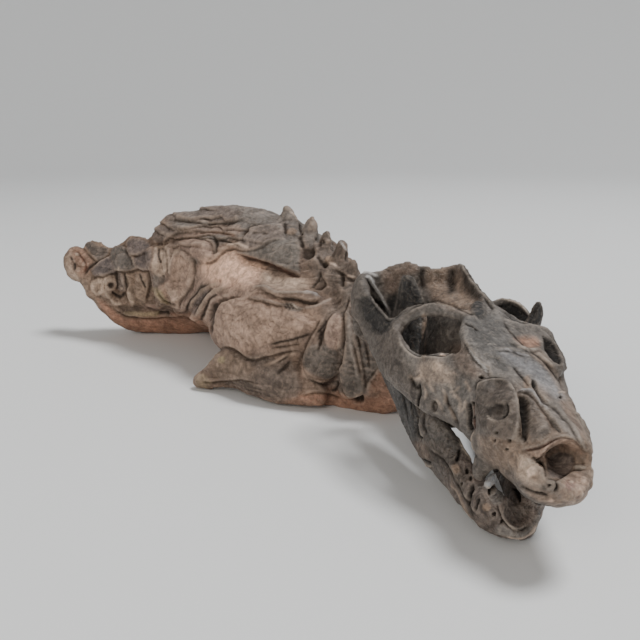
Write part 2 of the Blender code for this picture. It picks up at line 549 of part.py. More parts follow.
def keep_largest(obj):
    """Drops crumbs that a cut has left loose."""
    bm = bmesh.new()
    bm.from_mesh(obj.data)
    left = set(bm.verts)
    islands = []
    while left:
        edge = [left.pop()]
        island = set(edge)
        while edge:
            for link in edge.pop().link_edges:
                for vert in link.verts:
                    if vert in left:
                        left.discard(vert)
                        island.add(vert)
                        edge.append(vert)
        islands.append(island)
    islands.sort(key=len)
    for island in islands[:-1]:
        bmesh.ops.delete(bm, geom=list(island), context="VERTS")
    bmesh.ops.triangulate(bm, faces=bm.faces)
    bm.to_mesh(obj.data)
    bm.free()
    return obj


def finish_surface(obj, colour, roughness):
    """Shades the mesh smooth and gives it its material."""
    for polygon in obj.data.polygons:
        polygon.use_smooth = True
    material = bpy.data.materials.new(obj.name + "_surface")
    material.use_nodes = True
    shader = material.node_tree.nodes["Principled BSDF"]
    shader.inputs["Base Color"].default_value = (*colour, 1)
    shader.inputs["Roughness"].default_value = roughness
    obj.data.materials.clear()
    obj.data.materials.append(material)


def main():
    for old in list(bpy.data.objects):
        bpy.data.objects.remove(old)
    cranium = roughen(close_up(make_cranium(), SKULL_VOXEL), SKULL_WEATHERING)
    thin_out(cranium, CRANIUM_TRIANGLES)
    jaw = close_up(roughen(make_lower_jaw(), SKULL_WEATHERING), SKULL_VOXEL)
    cut(jaw, swollen(cranium, "cranium_clearance"))
    thin_out(close_up(jaw, SKULL_VOXEL), JAW_TRIANGLES)
    stand_off(jaw, cranium)
    trunk = roughen(make_trunk(), TRUNK_WEATHERING)
    cut(trunk, swollen(cranium, "cranium_clearance"))
    cut(trunk, swollen(jaw, "jaw_clearance"))
    thin_out(close_up(trunk, TRUNK_VOXEL), TRUNK_TRIANGLES)
    stand_off(trunk, cranium)
    cut(trunk, floor_block())
    for obj, look in ((cranium, SKULL_LOOK), (jaw, JAW_LOOK), (trunk, TRUNK_LOOK)):
        finish_surface(keep_largest(obj), *look)


main()
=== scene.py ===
import math

import bmesh
import bpy
import numpy as np
from mathutils import Matrix, Vector
from mathutils.bvhtree import BVHTree


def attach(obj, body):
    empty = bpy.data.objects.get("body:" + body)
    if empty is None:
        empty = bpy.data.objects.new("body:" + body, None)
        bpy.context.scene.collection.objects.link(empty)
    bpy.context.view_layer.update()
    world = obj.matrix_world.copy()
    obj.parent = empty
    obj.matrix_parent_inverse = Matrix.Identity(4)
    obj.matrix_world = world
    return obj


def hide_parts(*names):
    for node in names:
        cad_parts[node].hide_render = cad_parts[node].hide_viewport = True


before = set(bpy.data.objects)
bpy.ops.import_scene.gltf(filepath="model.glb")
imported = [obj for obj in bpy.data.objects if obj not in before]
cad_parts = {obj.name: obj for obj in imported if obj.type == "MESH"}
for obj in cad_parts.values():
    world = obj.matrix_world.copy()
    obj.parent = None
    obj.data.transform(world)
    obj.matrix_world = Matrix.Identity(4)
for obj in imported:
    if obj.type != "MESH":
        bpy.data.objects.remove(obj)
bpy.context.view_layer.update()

# The camera stands where the photograph was taken from.
# Lengths are in metres unless a name or note says otherwise.
mm = 0.001
photoSide = 640
focalPixels = 772.5
sensorWidth = 36
viewTurn = math.radians(45)
viewRise = math.radians(15)
viewPlace = np.array([0.170, -0.150, 0.0816])
viewRight = np.array([math.cos(viewTurn), math.sin(viewTurn), 0])
levelBack = np.array([math.sin(viewTurn), -math.cos(viewTurn), 0])
viewBack = levelBack * math.cos(viewRise) + np.array([0, 0, math.sin(viewRise)])
viewUp = np.cross(viewBack, viewRight)
skullMiddle = np.array([0.0483, 0.0098, 0.0124])
skullTurn = Matrix.Rotation(math.radians(-33.6), 3, "Z") @ Matrix.Rotation(math.radians(-1.6), 3, "Y")
skullAcross = np.array((skullTurn @ Matrix.Rotation(math.radians(-12.2), 3, "X")).col[1])
wobbleGrains = ((9, 1.3), (3.2, 0.7))      # grain in mm and reach in pixels of drawn lines' unevenness
deepest, highest = 2.6, 1.6                # how far in mm the strokes may sink or raise a point
mirrorStart, mirrorFull = 1.5, 4           # mm from the skull's middle where mirrored strokes set in


def colour(red, green, blue):
    # linear values from display ones
    given = np.array([red, green, blue]) / 255
    return np.where(given <= 0.04045, given / 12.92, ((given + 0.055) / 1.055) ** 2.4)


cream = colour(182, 158, 138)
paleCream = colour(206, 180, 160)
paleBone = colour(168, 154, 140)
boneGrey = colour(118, 112, 106)
blueGrey = colour(164, 163, 166)
darkGrey = colour(62, 61, 60)
greyBrown = colour(92, 84, 77)
darkBrown = colour(58, 50, 44)
brown = colour(112, 92, 78)
tan = colour(134, 112, 94)
pinkTan = colour(151, 126, 111)
pinkBrown = colour(128, 100, 90)
purpleGrey = colour(88, 80, 79)
greenGrey = colour(104, 97, 90)
ashGrey = colour(88, 84, 80)
taupe = colour(112, 99, 91)
umber = colour(80, 70, 62)
roseTan = colour(169, 141, 122)
warmCream = colour(216, 175, 149)
amber = colour(160, 120, 98)
# near black of painted shade inside holes and openings
openingShade = colour(34, 33, 32)
whitish = colour(224, 223, 222)
yellowGreen = colour(156, 140, 108)
orange = colour(156, 112, 86)
orangeBrown = colour(146, 110, 90)
redBrown = colour(112, 70, 54)
nearBlack = colour(24, 21, 19)
toothGrey = colour(132, 134, 137)
# pale grey of painted highlights
highlightGrey = colour(146, 144, 145)


def noise(points, size, seed=0):
    # smooth unevenness from -1 to 1, in lumps of about this size
    spread = points / size + seed * 17.31
    cell = np.floor(spread).astype(np.int64)
    part = spread - cell
    part = part * part * (3 - 2 * part)
    total = np.zeros(len(points))
    for corner in np.ndindex(2, 2, 2):
        at = cell + corner
        mixed = (at[:, 0] * 73856093) ^ (at[:, 1] * 19349663) ^ (at[:, 2] * 83492791)
        mixed = ((mixed ^ (mixed >> 13)) * 1274126177) & 0x7FFFFFFF
        value = ((mixed ^ (mixed >> 15)) & 0xFFFF) / 0x7FFF - 1
        total += value * np.prod(np.where(corner, part, 1 - part), axis=1)
    return total


def ramp(values, low, high):
    # 0 below low, 1 above high and smooth between
    t = np.clip((values - low) / (high - low), 0, 1)
    return t * t * (3 - 2 * t)


def smoothLine(points, steps=3):
    # more points on a smooth curve through the given ones
    given = np.array(points, float)
    ends = np.vstack([2 * given[0] - given[1], given, 2 * given[-1] - given[-2]])
    run = []
    for i in range(len(given) - 1):
        p, q, r, s = ends[i:i + 4]
        square = 2 * p - 5 * q + 4 * r - s
        cube = 3 * q - 3 * r + s - p
        for k in range(steps):
            t = k / steps
            run.append(0.5 * (2 * q + (r - p) * t + square * t * t + cube * t ** 3))
    return np.array(run + [given[-1]])


def toLine(at, points):
    # distance of each place from a line, its side (1 is the right of the run), and a fade at the line's ends
    nearest = np.full(len(at), np.inf)
    side = np.zeros(len(at))
    run = np.zeros(len(at))
    for i, (a, b) in enumerate(zip(points, points[1:])):
        along = b - a
        t = np.clip((at - a) @ along / (along @ along + 1e-9), 0, 1)
        off = at - a - t[:, None] * along
        away = np.hypot(off[:, 0], off[:, 1])
        closer = away < nearest
        nearest[closer] = away[closer]
        side[closer] = np.sign(along[0] * off[closer, 1] - along[1] * off[closer, 0])
        run[closer] = (i + t[closer]) / (len(points) - 1)
    return nearest, side, ramp(np.minimum(run, 1 - run), -0.05, 0.18)


def intoOutline(at, outline):
    # how far inside an outline each place is; outside is negative
    closed = np.vstack([outline, outline[:1]])
    away, _, _ = toLine(at, closed)
    inside = np.zeros(len(at), bool)
    for (x0, y0), (x1, y1) in zip(closed, closed[1:]):
        crosses = (y0 > at[:, 1]) != (y1 > at[:, 1])
        inside ^= crosses & (at[:, 0] < x0 + (at[:, 1] - y0) * (x1 - x0) / (y1 - y0 if y1 != y0 else 1e-9))
    return np.where(inside, away, -away)


def onPhoto(points):
    # where points fall on the photograph, in pixels
    offset = points - viewPlace
    depth = -offset @ viewBack
    across = photoSide / 2 + focalPixels * (offset @ viewRight) / depth
    down = photoSide / 2 - focalPixels * (offset @ viewUp) / depth
    return np.stack([across, down], 1)


def linked(name, mesh):
    piece = bpy.data.objects.new(name, mesh)
    bpy.context.scene.collection.objects.link(piece)
    return piece


def settled(piece):
    # the piece with its modifiers worked into its mesh
    bpy.context.view_layer.update()
    mesh = bpy.data.meshes.new_from_object(piece.evaluated_get(bpy.context.evaluated_depsgraph_get()))
    piece.modifiers.clear()
    piece.data = mesh
    return piece


def fineCopy(node, voxel, swell, passes):
    # a rounder copy of a CAD node with an even, fine mesh
    bm = bmesh.new()
    bm.from_mesh(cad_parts[node].data)
    bmesh.ops.remove_doubles(bm, verts=bm.verts, dist=0.01 * mm)
    mesh = bpy.data.meshes.new(node + "_fine")
    bm.to_mesh(mesh)
    bm.free()
    piece = linked(node + "_fine", mesh)
    rounding = piece.modifiers.new("rounding", "SUBSURF")
    rounding.levels = 2
    rounding.render_levels = 2
    growth = piece.modifiers.new("growth", "DISPLACE")
    growth.strength = swell * mm
    growth.mid_level = 0
    skin = piece.modifiers.new("skin", "REMESH")
    skin.mode = "VOXEL"
    skin.voxel_size = voxel * mm
    easing = piece.modifiers.new("easing", "SMOOTH")
    easing.factor = 0.5
    easing.iterations = passes
    return settled(piece)


def facing(normals, places):
    toCamera = viewPlace - places
    toCamera /= np.linalg.norm(toCamera, axis=1)[:, None]
    return np.einsum("ij,ij->i", normals, toCamera)


def refineSeen(piece):
    # splits the faces that are turned to the camera in four
    bm = bmesh.new()
    bm.from_mesh(piece.data)
    bm.faces.ensure_lookup_table()
    centres = np.array([f.calc_center_median() for f in bm.faces])
    normals = np.array([f.normal for f in bm.faces])
    chosen = facing(normals, centres) > 0
    edges = {e for f, take in zip(bm.faces, chosen) if take for e in f.edges}
    bmesh.ops.subdivide_edges(bm, edges=list(edges), cuts=1, use_grid_fill=True, smooth=0.2)
    bm.to_mesh(piece.data)
    bm.free()
    piece.data.update()
    return piece


solidTrees = []
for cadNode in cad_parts.values():
    corners = [v.co for v in cadNode.data.vertices]
    solidTrees.append(BVHTree.FromPolygons(corners, [p.vertices for p in cadNode.data.polygons]))


class Surface:
    # a piece's points as arrays, which strokes raise, lower and paint

    def __init__(self, piece, ground):
        self.piece = piece
        mesh = piece.data
        count = len(mesh.vertices)
        flat = np.empty(count * 3)
        mesh.vertices.foreach_get("co", flat)
        self.places = flat.reshape(-1, 3).copy()
        mesh.vertex_normals.foreach_get("vector", flat)
        self.normals = flat.reshape(-1, 3).copy()
        pairs = np.empty(len(mesh.edges) * 2, np.int64)
        mesh.edges.foreach_get("vertices", pairs)
        self.pairs = pairs.reshape(-1, 2)
        self.links = np.maximum(np.bincount(pairs, minlength=count), 1)
        self.lift = np.zeros(count)
        # of the next two channels, the first darkens the colour with dirt and with painted shade in grooves,
        # holes and at the foot of edges; the second lightens it with wear and with painted highlights along
        # rims and ridges
        self.dirtAndShade = np.zeros(count)
        self.wearAndHighlight = np.zeros(count)
        self.stone = np.zeros(count)
        self.paint = np.tile(ground, (count, 1))
        self.seen = self.relax(self.inSight(self.places, self.normals, 0.9), 2)
        self.look(self.places, self.seen)

    def inSight(self, places, normals, margin):
        turned = facing(normals, places)
        clear = np.zeros(len(places))
        for i in np.nonzero(turned > 0.02)[0]:
            start = places[i] + normals[i] * margin * mm
            away = viewPlace - start
            start = start + away / np.linalg.norm(away) * 0.6 * mm
            blocked = any(tree.ray_cast(Vector(start), Vector(away))[0] for tree in solidTrees)
            clear[i] = 0 if blocked else 1
        return clear * ramp(turned, 0.0, 0.15)

    def look(self, places, weight):
        # the strokes that follow are drawn on the surface as the camera sees these places
        self.at = onPhoto(places)
        for grain, reach in wobbleGrains:
            for axis in (0, 1):
                self.at[:, axis] += reach * noise(places, grain * mm, 3 + axis)
        self.weight = weight

    def lookMirrored(self, middle, across):
        # the strokes that follow are drawn a second time, mirrored in a plane, on what the camera doesn't see
        reach = (self.places - middle) @ across
        places = self.places - 2 * reach[:, None] * across
        normals = self.normals - 2 * (self.normals @ across)[:, None] * across
        clear = self.relax(self.inSight(places, normals, 2.2), 2)
        self.look(places, clear * (1 - self.seen) * ramp(reach, mirrorStart * mm, mirrorFull * mm))

    def relax(self, values, passes):
        first, second = self.pairs.T
        for _ in range(passes):
            around = np.bincount(first, values[second], len(values))
            around += np.bincount(second, values[first], len(values))
            values = 0.5 * values + 0.5 * around / self.links
        return values

    def near(self, points, margin):
        # the points of the surface near a drawn shape
        low, high = np.min(points, axis=0) - margin, np.max(points, axis=0) + margin
        inside = np.all((self.at > low) & (self.at < high), axis=1)
        return np.nonzero(inside & (self.weight > 0.01))[0]

    def mix(self, which, shade, amount):
        amount = np.clip(amount, 0, 1)[:, None]
        self.paint[which] = self.paint[which] * (1 - amount) + shade * amount

    def line(self, height, width, points, shade, strength=0.8):
        # a groove where height is negative, a ridge where it is positive; width is in pixels
        line = smoothLine(points)
        which = self.near(line, width * 3)
        away, _, ends = toLine(self.at[which], line)
        profile = np.exp(-(away / width) ** 2) * ends * self.weight[which]
        self.lift[which] += height * mm * profile
        # grooves get painted shade as well as dirt, ridges a painted highlight as well as wear
        if height < 0:
            self.dirtAndShade[which] = np.maximum(self.dirtAndShade[which], profile * strength)
        else:
            self.wearAndHighlight[which] = np.maximum(self.wearAndHighlight[which], profile * strength)
        self.mix(which, shade, profile * strength * 1.2)

    def ledge(self, height, reach, points):
        # an edge whose high side is on the right of the line's run, with a painted highlight on its rim and a
        # painted shadow at its foot; reach is in pixels
        line = smoothLine(points)
        which = self.near(line, reach * 3)
        away, side, ends = toLine(self.at[which], line)
        signed = away * side
        share = ends * self.weight[which]
        self.lift[which] += height * mm * np.tanh(signed / 0.9) * np.exp(-away / reach) * share
        # painted highlight along the edge's high rim, and painted shadow at its foot
        bright = 0.7 * share * np.exp(-((signed - 1.1) / 1.1) ** 2)
        dark = 0.8 * share * np.exp(-((signed + 1.3) / 1.3) ** 2)
        self.wearAndHighlight[which] = np.maximum(self.wearAndHighlight[which], bright)
        self.dirtAndShade[which] = np.maximum(self.dirtAndShade[which], dark)

    def area(self, height, outline, shade, amount, soft, dirtAndShade):
        # a raised or sunken patch with its own colour; soft is the width of its border in pixels
        shape = smoothLine([*outline, outline[0]], 2)[:-1]
        which = self.near(shape, soft * 2)
        inside = ramp(intoOutline(self.at[which], shape), -soft, soft) * self.weight[which]
        self.lift[which] += height * mm * inside
        # the darkening value is painted shade in the holes, gaps and hollows, and dirt on the other patches
        self.dirtAndShade[which] = np.maximum(self.dirtAndShade[which], dirtAndShade * inside)
        self.mix(which, shade, inside * amount)

    def spot(self, height, centre, radii, shade, dirtAndShade, amount=0.85):
        # a round patch, bump or pit
        which = self.near([centre], max(radii) * 2)
        reach = np.hypot(*((self.at[which] - centre) / radii).T)
        inside = ramp(1.25 - reach, 0, 0.5) * self.weight[which]
        self.lift[which] += height * mm * inside
        # the darkening value is painted shade in the pits and holes
        self.dirtAndShade[which] = np.maximum(self.dirtAndShade[which], dirtAndShade * inside)
        self.mix(which, shade, inside * amount)

    def within(self, centre, radii, edge, grain, seed):
        # 1 inside a region given in millimetres and 0 outside, with an uneven edge
        reach = np.linalg.norm((self.places / mm - centre) / radii, axis=1)
        reach += edge * noise(self.places, grain * mm, seed)
        return ramp(1.15 - reach, 0, 0.4)

    def zone(self, shade, centre, radii, amount, stone=0):
        # colours a whole region of the solid, seen or not
        inside = self.within(centre, radii, 0.22, 7, 9)
        self.stone = np.maximum(self.stone, stone * inside)
        self.mix(np.arange(len(inside)), shade, inside * amount)

    def weather(self, lumps, seed):
        # works unevenness in, as pairs of grain and depth in mm, and mottles the paint with it
        for i, (grain, depth) in enumerate(lumps):
            self.lift += depth * mm * noise(self.places, grain * mm, seed + i)
        mottle = 0.55 * noise(self.places, 3.5 * mm, seed + 20)
        mottle += 0.45 * noise(self.places, 1.4 * mm, seed + 21)
        self.paint *= (1 + 0.22 * mottle)[:, None]
        warm = noise(self.places, 6 * mm, seed + 22)[:, None]
        self.paint *= 1 + warm * np.array([0.05, 0.0, -0.06])

    def flakes(self, grain, height, seed, stretch, edges):
        # breaks the surface into low steps, as old bone flakes, with a painted shadow at each step's foot and
        # a painted highlight on its rim; grain and height are in millimetres
        spread = self.places / np.array(stretch)
        level = 3 * (noise(spread, grain * mm, seed) + 0.4 * noise(spread, 0.4 * grain * mm, seed + 1))
        part = level - np.floor(level)
        share = 1 - 0.85 * self.stone
        self.lift += height * mm * share * (np.floor(level) + ramp(part, 0.42, 0.58) - level)
        self.dirtAndShade = np.maximum(self.dirtAndShade, edges * share * np.exp(-((part - 0.38) / 0.06) ** 2))
        self.wearAndHighlight = np.maximum(self.wearAndHighlight, 0.8 * edges * share * np.exp(-((part - 0.64) / 0.07) ** 2))

    def chip(self, depth, grain, seed):
        # breaks small pieces out of sharp edges; depth and grain are in millimetres
        smoothed = np.stack([self.relax(self.places[:, axis], 6) for axis in range(3)], 1)
        edge = ramp(np.einsum("ij,ij->i", self.places - smoothed, self.normals) / mm, 0.05, 0.2)
        patches = noise(self.places, grain * mm, seed) + 0.4 * noise(self.places, 0.4 * grain * mm, seed + 1)
        self.lift -= depth * mm * edge * ramp(patches, 0.05, 0.35) * (1 - self.stone)

    def bedding(self, spacing, height, centre, radii, seed):
        # layers of the stone that stand out one over the other, in a region given in millimetres, with a
        # painted shadow at each layer's foot and a painted highlight on its rim
        share = self.within(centre, radii, 0.2, 9, seed + 2)
        level = self.places @ np.array([-0.06, 0.18, 1]) / (spacing * mm)
        level += 0.8 * noise(self.places, 16 * mm, seed) + 0.3 * noise(self.places, 5 * mm, seed + 1)
        part = level - np.floor(level)
        self.lift += height * mm * share * (ramp(part, 0, 0.12) - part)
        self.dirtAndShade = np.maximum(self.dirtAndShade, 0.6 * share * np.exp(-((part - 0.96) / 0.06) ** 2))
        self.wearAndHighlight = np.maximum(self.wearAndHighlight, 0.45 * share * np.exp(-((part - 0.2) / 0.1) ** 2))

    def finish(self):
        # moves the points, finds hollows and edges, and hands everything to the mesh
        self.places += self.normals * np.clip(self.lift, -deepest * mm, highest * mm)[:, None]
        self.places[:, 2] = np.maximum(self.places[:, 2], 0)      # nothing sinks into the floor
        smoothed = np.stack([self.relax(self.places[:, axis], 6) for axis in range(3)], 1)
        bend = np.einsum("ij,ij->i", smoothed - self.places, self.normals) / mm
        wide = np.stack([self.relax(smoothed[:, axis], 24) for axis in range(3)], 1)
        wideBend = np.einsum("ij,ij->i", wide - smoothed, self.normals) / mm
        # darker in hollows, lighter on sharp edges
        hollows = ramp(bend, 0.02, 0.16) * 0.6 + ramp(wideBend, 0.05, 0.4) * 0.4
        edges = ramp(-bend, 0.02, 0.14) * 0.55 + ramp(-wideBend, 0.08, 0.5) * 0.25
        self.dirtAndShade = np.clip(self.dirtAndShade + hollows, 0, 1)
        self.wearAndHighlight = np.clip(self.wearAndHighlight + edges, 0, 1)
        mesh = self.piece.data
        mesh.vertices.foreach_set("co", self.places.ravel())
        paint = mesh.attributes.new("paint", "FLOAT_COLOR", "POINT")
        four = np.ones((len(self.paint), 4), np.float32)
        four[:, :3] = np.clip(self.paint, 0.002, 0.9)
        paint.data.foreach_set("color", four.ravel())
        for name in ("dirtAndShade", "wearAndHighlight", "stone"):
            attribute = mesh.attributes.new(name, "FLOAT", "POINT")
            attribute.data.foreach_set("value", getattr(self, name).astype(np.float32))
        mesh.polygons.foreach_set("use_smooth", np.ones(len(mesh.polygons), bool))
        mesh.update()
        return self.piece


def sharedGroup(name, inputs, outputs):
    group = bpy.data.node_groups.new(name, "ShaderNodeTree")
    for label, kind, value in inputs:
        socket = group.interface.new_socket(label, in_out="INPUT", socket_type=kind)
        if value is not None:
            socket.default_value = value
    for label, kind in outputs:
        group.interface.new_socket(label, in_out="OUTPUT", socket_type=kind)
    enter = group.nodes.new("NodeGroupInput")
    leave = group.nodes.new("NodeGroupOutput")
    return group, enter, leave


def node(tree, kind, settings=(), **values):
    made = tree.nodes.new(kind)
    for name, value in settings:
        setattr(made, name, value)
    for name, value in values.items():
        made.inputs[name.replace("_", " ")].default_value = value
    return made


def numberMath(tree, operation, first, second):
    made = tree.nodes.new("ShaderNodeMath")
    made.operation = operation
    for socket, value in zip(made.inputs, (first, second)):
        if isinstance(value, bpy.types.NodeSocket):
            tree.links.new(value, socket)
        else:
            socket.default_value = value
    return made.outputs[0]


def numberRange(tree, value, low, high, start=0.0, end=1.0):
    made = node(tree, "ShaderNodeMapRange", [("interpolation_type", "SMOOTHSTEP")])
    made.inputs["From Min"].default_value = low
    made.inputs["From Max"].default_value = high
    made.inputs["To Min"].default_value = start
    made.inputs["To Max"].default_value = end
    tree.links.new(value, made.inputs["Value"])
    return made.outputs["Result"]


def blended(tree, factor, first, second):
    made = node(tree, "ShaderNodeMix", [("data_type", "RGBA")])
    for index, value in ((0, factor), (6, first), (7, second)):
        if isinstance(value, bpy.types.NodeSocket):
            tree.links.new(value, made.inputs[index])
        elif index == 0:
            made.inputs[index].default_value = value
        else:
            made.inputs[index].default_value = (*value, 1)
    return made.outputs[2]


def makeMottling():
    # two scales of cloudiness, and small specks
    group, enter, leave = sharedGroup(
        "mottling",
        [("Vector", "NodeSocketVector", None), ("Scale", "NodeSocketFloat", 300.0)],
        [("Clouds", "NodeSocketFloat"), ("Specks", "NodeSocketFloat")],
    )
    clouds = node(group, "ShaderNodeTexNoise", Detail=8.0, Roughness=0.62, Distortion=0.6)
    group.links.new(enter.outputs["Vector"], clouds.inputs["Vector"])
    group.links.new(enter.outputs["Scale"], clouds.inputs["Scale"])
    specks = node(group, "ShaderNodeTexNoise", Detail=3.0, Roughness=0.5)
    group.links.new(enter.outputs["Vector"], specks.inputs["Vector"])
    group.links.new(numberMath(group, "MULTIPLY", enter.outputs["Scale"], 4.5), specks.inputs["Scale"])
    group.links.new(numberRange(group, clouds.outputs["Fac"], 0.3, 0.7), leave.inputs["Clouds"])
    group.links.new(numberRange(group, specks.outputs["Fac"], 0.56, 0.68), leave.inputs["Specks"])
    return group


def makeCrazing():
    # fine winding cracks, in patches
    group, enter, leave = sharedGroup(
        "crazing",
        [("Vector", "NodeSocketVector", None), ("Scale", "NodeSocketFloat", 220.0)],
        [("Cracks", "NodeSocketFloat")],
    )
    winding = node(group, "ShaderNodeTexNoise", Detail=4.0, Roughness=0.55, Distortion=1.4)
    group.links.new(enter.outputs["Vector"], winding.inputs["Vector"])
    group.links.new(enter.outputs["Scale"], winding.inputs["Scale"])
    offset = numberMath(group, "ABSOLUTE", numberMath(group, "SUBTRACT", winding.outputs["Fac"], 0.5), 0)
    patches = node(group, "ShaderNodeTexNoise", Scale=140.0, Detail=2.0)
    group.links.new(enter.outputs["Vector"], patches.inputs["Vector"])
    thin = numberRange(group, offset, 0.0, 0.016, 1.0, 0.0)
    where = numberRange(group, patches.outputs["Fac"], 0.46, 0.58)
    group.links.new(numberMath(group, "MULTIPLY", thin, where), leave.inputs["Cracks"])
    return group


def makeGrain():
    # height of the surface's finest relief: pores and grit
    group, enter, leave = sharedGroup(
        "grain",
        [("Vector", "NodeSocketVector", None), ("Grit", "NodeSocketFloat", 0.5)],
        [("Height", "NodeSocketFloat")],
    )
    coarse = node(group, "ShaderNodeTexNoise", Scale=700.0, Detail=6.0, Roughness=0.65)
    fine = node(group, "ShaderNodeTexNoise", Scale=2600.0, Detail=3.0, Roughness=0.6)
    pores = node(group, "ShaderNodeTexVoronoi", Scale=1500.0, Randomness=1.0)
    for texture in (coarse, fine, pores):
        group.links.new(enter.outputs["Vector"], texture.inputs["Vector"])
    pits = numberRange(group, pores.outputs["Distance"], 0.05, 0.32)
    grit = numberMath(group, "MULTIPLY", fine.outputs["Fac"], enter.outputs["Grit"])
    total = numberMath(group, "ADD", coarse.outputs["Fac"], grit)
    group.links.new(numberMath(group, "MULTIPLY_ADD", pits, 0.35), leave.inputs["Height"])
    group.nodes[-1].inputs[2].default_value = 0
    group.links.new(total, group.nodes[-1].inputs[2])
    return group


sharedMottling = makeMottling()
sharedCrazing = makeCrazing()
sharedGrain = makeGrain()


def weatheredMaterial(name, look):
    # fossil bone or stone whose colours come from the piece's painted points
    material = bpy.data.materials.new(name)
    material.use_nodes = True
    tree = material.node_tree
    shader = tree.nodes["Principled BSDF"]
    place = tree.nodes.new("ShaderNodeTexCoord").outputs["Object"]

    def masked(label):
        made = node(tree, "ShaderNodeAttribute", [("attribute_name", label)])
        return made.outputs["Color" if label == "paint" else "Fac"]

    def shared(group, **values):
        made = node(tree, "ShaderNodeGroup", [("node_tree", group)], **values)
        tree.links.new(place, made.inputs["Vector"])
        return made

    paint, dirtAndShade, wearAndHighlight, stone = [masked(label) for label in ("paint", "dirtAndShade", "wearAndHighlight", "stone")]
    mottling = shared(sharedMottling, Scale=look["mottleScale"])
    blotches = shared(sharedMottling, Scale=look["mottleScale"] * 3.7)
    crazing = shared(sharedCrazing, Scale=look["crackScale"])
    grain = shared(sharedGrain)
    tree.links.new(numberRange(tree, stone, 0, 1, look["grit"], 1.4), grain.inputs["Grit"])

    darker = blended(tree, 1.0, paint, (1, 1, 1))
    deep = tree.nodes[-1]
    deep.blend_type = "MULTIPLY"
    shade = numberRange(tree, mottling.outputs["Clouds"], 0, 1, look["mottleDark"], look["mottleLight"])
    finer = numberRange(tree, blotches.outputs["Clouds"], 0, 1, look["mottleDark"], look["mottleLight"])
    tree.links.new(numberMath(tree, "MULTIPLY", shade, finer), deep.inputs[7])
    specks = numberMath(tree, "MULTIPLY", mottling.outputs["Specks"], look["specks"])
    specked = blended(tree, specks, darker, look["speckShade"])
    cracked = numberMath(tree, "MULTIPLY", crazing.outputs["Cracks"], look["cracks"])
    # the colour is darkened by dirt and painted shade, then lightened by wear and painted highlights
    darkening = numberMath(tree, "MAXIMUM", numberMath(tree, "MULTIPLY", dirtAndShade, look["dirtAndShade"]), cracked)
    darkened = blended(tree, darkening, specked, look["dirtAndShadeColour"])
    patchy = numberRange(tree, mottling.outputs["Clouds"], 0.1, 0.8, 0.5, 1.0)
    lightening = numberMath(tree, "MULTIPLY", wearAndHighlight, patchy)
    lit = blended(tree, numberMath(tree, "MULTIPLY", lightening, look["wearAndHighlightStrength"]), darkened, look["wearAndHighlightColour"])
    tree.links.new(lit, shader.inputs["Base Color"])

    dull = numberRange(tree, mottling.outputs["Clouds"], 0, 1, look["roughest"], look["smoothest"])
    sheen = numberMath(tree, "MULTIPLY", wearAndHighlight, 0.15)
    tree.links.new(numberMath(tree, "SUBTRACT", dull, sheen), shader.inputs["Roughness"])
    matt = numberMath(tree, "SUBTRACT", 1, numberMath(tree, "MULTIPLY", dirtAndShade, 0.9))
    tree.links.new(numberMath(tree, "MULTIPLY", matt, look["shine"]), shader.inputs["Specular IOR Level"])

    relief = node(tree, "ShaderNodeBump", Strength=look["reliefStrength"], Distance=look["relief"] * mm)
    tree.links.new(grain.outputs["Height"], relief.inputs["Height"])
    lumps = node(tree, "ShaderNodeBump", Strength=0.4, Distance=look["relief"] * mm)
    tree.links.new(blotches.outputs["Clouds"], lumps.inputs["Height"])
    tree.links.new(relief.outputs["Normal"], lumps.inputs["Normal"])
    splits = node(tree, "ShaderNodeBump", [("invert", True)], Strength=0.8, Distance=0.3 * mm)
    tree.links.new(cracked, splits.inputs["Height"])
    tree.links.new(lumps.outputs["Normal"], splits.inputs["Normal"])
    tree.links.new(splits.outputs["Normal"], shader.inputs["Normal"])
    return material


def placePiece(surface, name, cadNode, material):
    piece = surface.finish()
    piece.name = name
    piece.data.name = name
    piece.data.materials.clear()
    piece.data.materials.append(material)
    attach(piece, "root")
    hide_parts(cadNode)
    triangles = sum(len(p.vertices) - 2 for p in piece.data.polygons)
    print(name, triangles, "triangles")


craniumLook = {
    # lumps: grain and depth in mm; flakes: grain and height in mm, seed, stretch along x, y and z, strength
    # of the painted shadow and highlight at the steps
    # chips: depth and grain in mm, seed; beds: spacing and height in mm, centre and radii in mm, seed
    "ground": greyBrown, "voxel": 0.64, "swell": 0.12, "easing": 3,
    "lumps": [(9, 0.3), (4, 0.2), (1.6, 0.12), (0.9, 0.06)], "lumpSeed": 1, "beds": [],
    "flakes": [(9, 0.1, 5, (1.4, 1, 1), 0.25), (4, 0.07, 15, (1.3, 1, 1), 0.2)],
    "chips": (0.9, 2.4, 41), "veinHeight": 0.1, "veinStrength": 0.45,
    "mottleScale": 260.0, "crackScale": 190.0, "grit": 0.5, "mottleDark": 0.74, "mottleLight": 1.28,
    "specks": 0.2, "speckShade": tuple(paleBone), "cracks": 0.25, "dirtAndShade": 0.8, "dirtAndShadeColour": tuple(nearBlack),
    "wearAndHighlightStrength": 0.5, "wearAndHighlightColour": tuple(paleBone), "roughest": 0.68, "smoothest": 0.45, "shine": 0.5,
    "reliefStrength": 0.7, "relief": 0.4,
}
craniumZones = [
    # shade, centre and radii in mm, amount
    (tan, (108, -24, 22), (14, 14, 16), 0.7),
    (boneGrey, (84, -14, 36), (24, 20, 12), 0.5),
    (greyBrown, (56, 4, 36), (22, 34, 16), 0.9),
]
insideEye = [
    # drawn on both the skull and the lower jaw, with the columns of craniumAreas
    ("corner in the eye", 0, 2, boneGrey, 0.8, 0,
     [(404, 322), (410, 316), (424, 312), (426, 322), (421, 328), (413, 326), (407, 330)]),
    ("pillar in the eye", 0.3, 1.2, tan, 0.9, 0, [(421, 316), (426, 316), (426, 356), (422, 356)]),
]
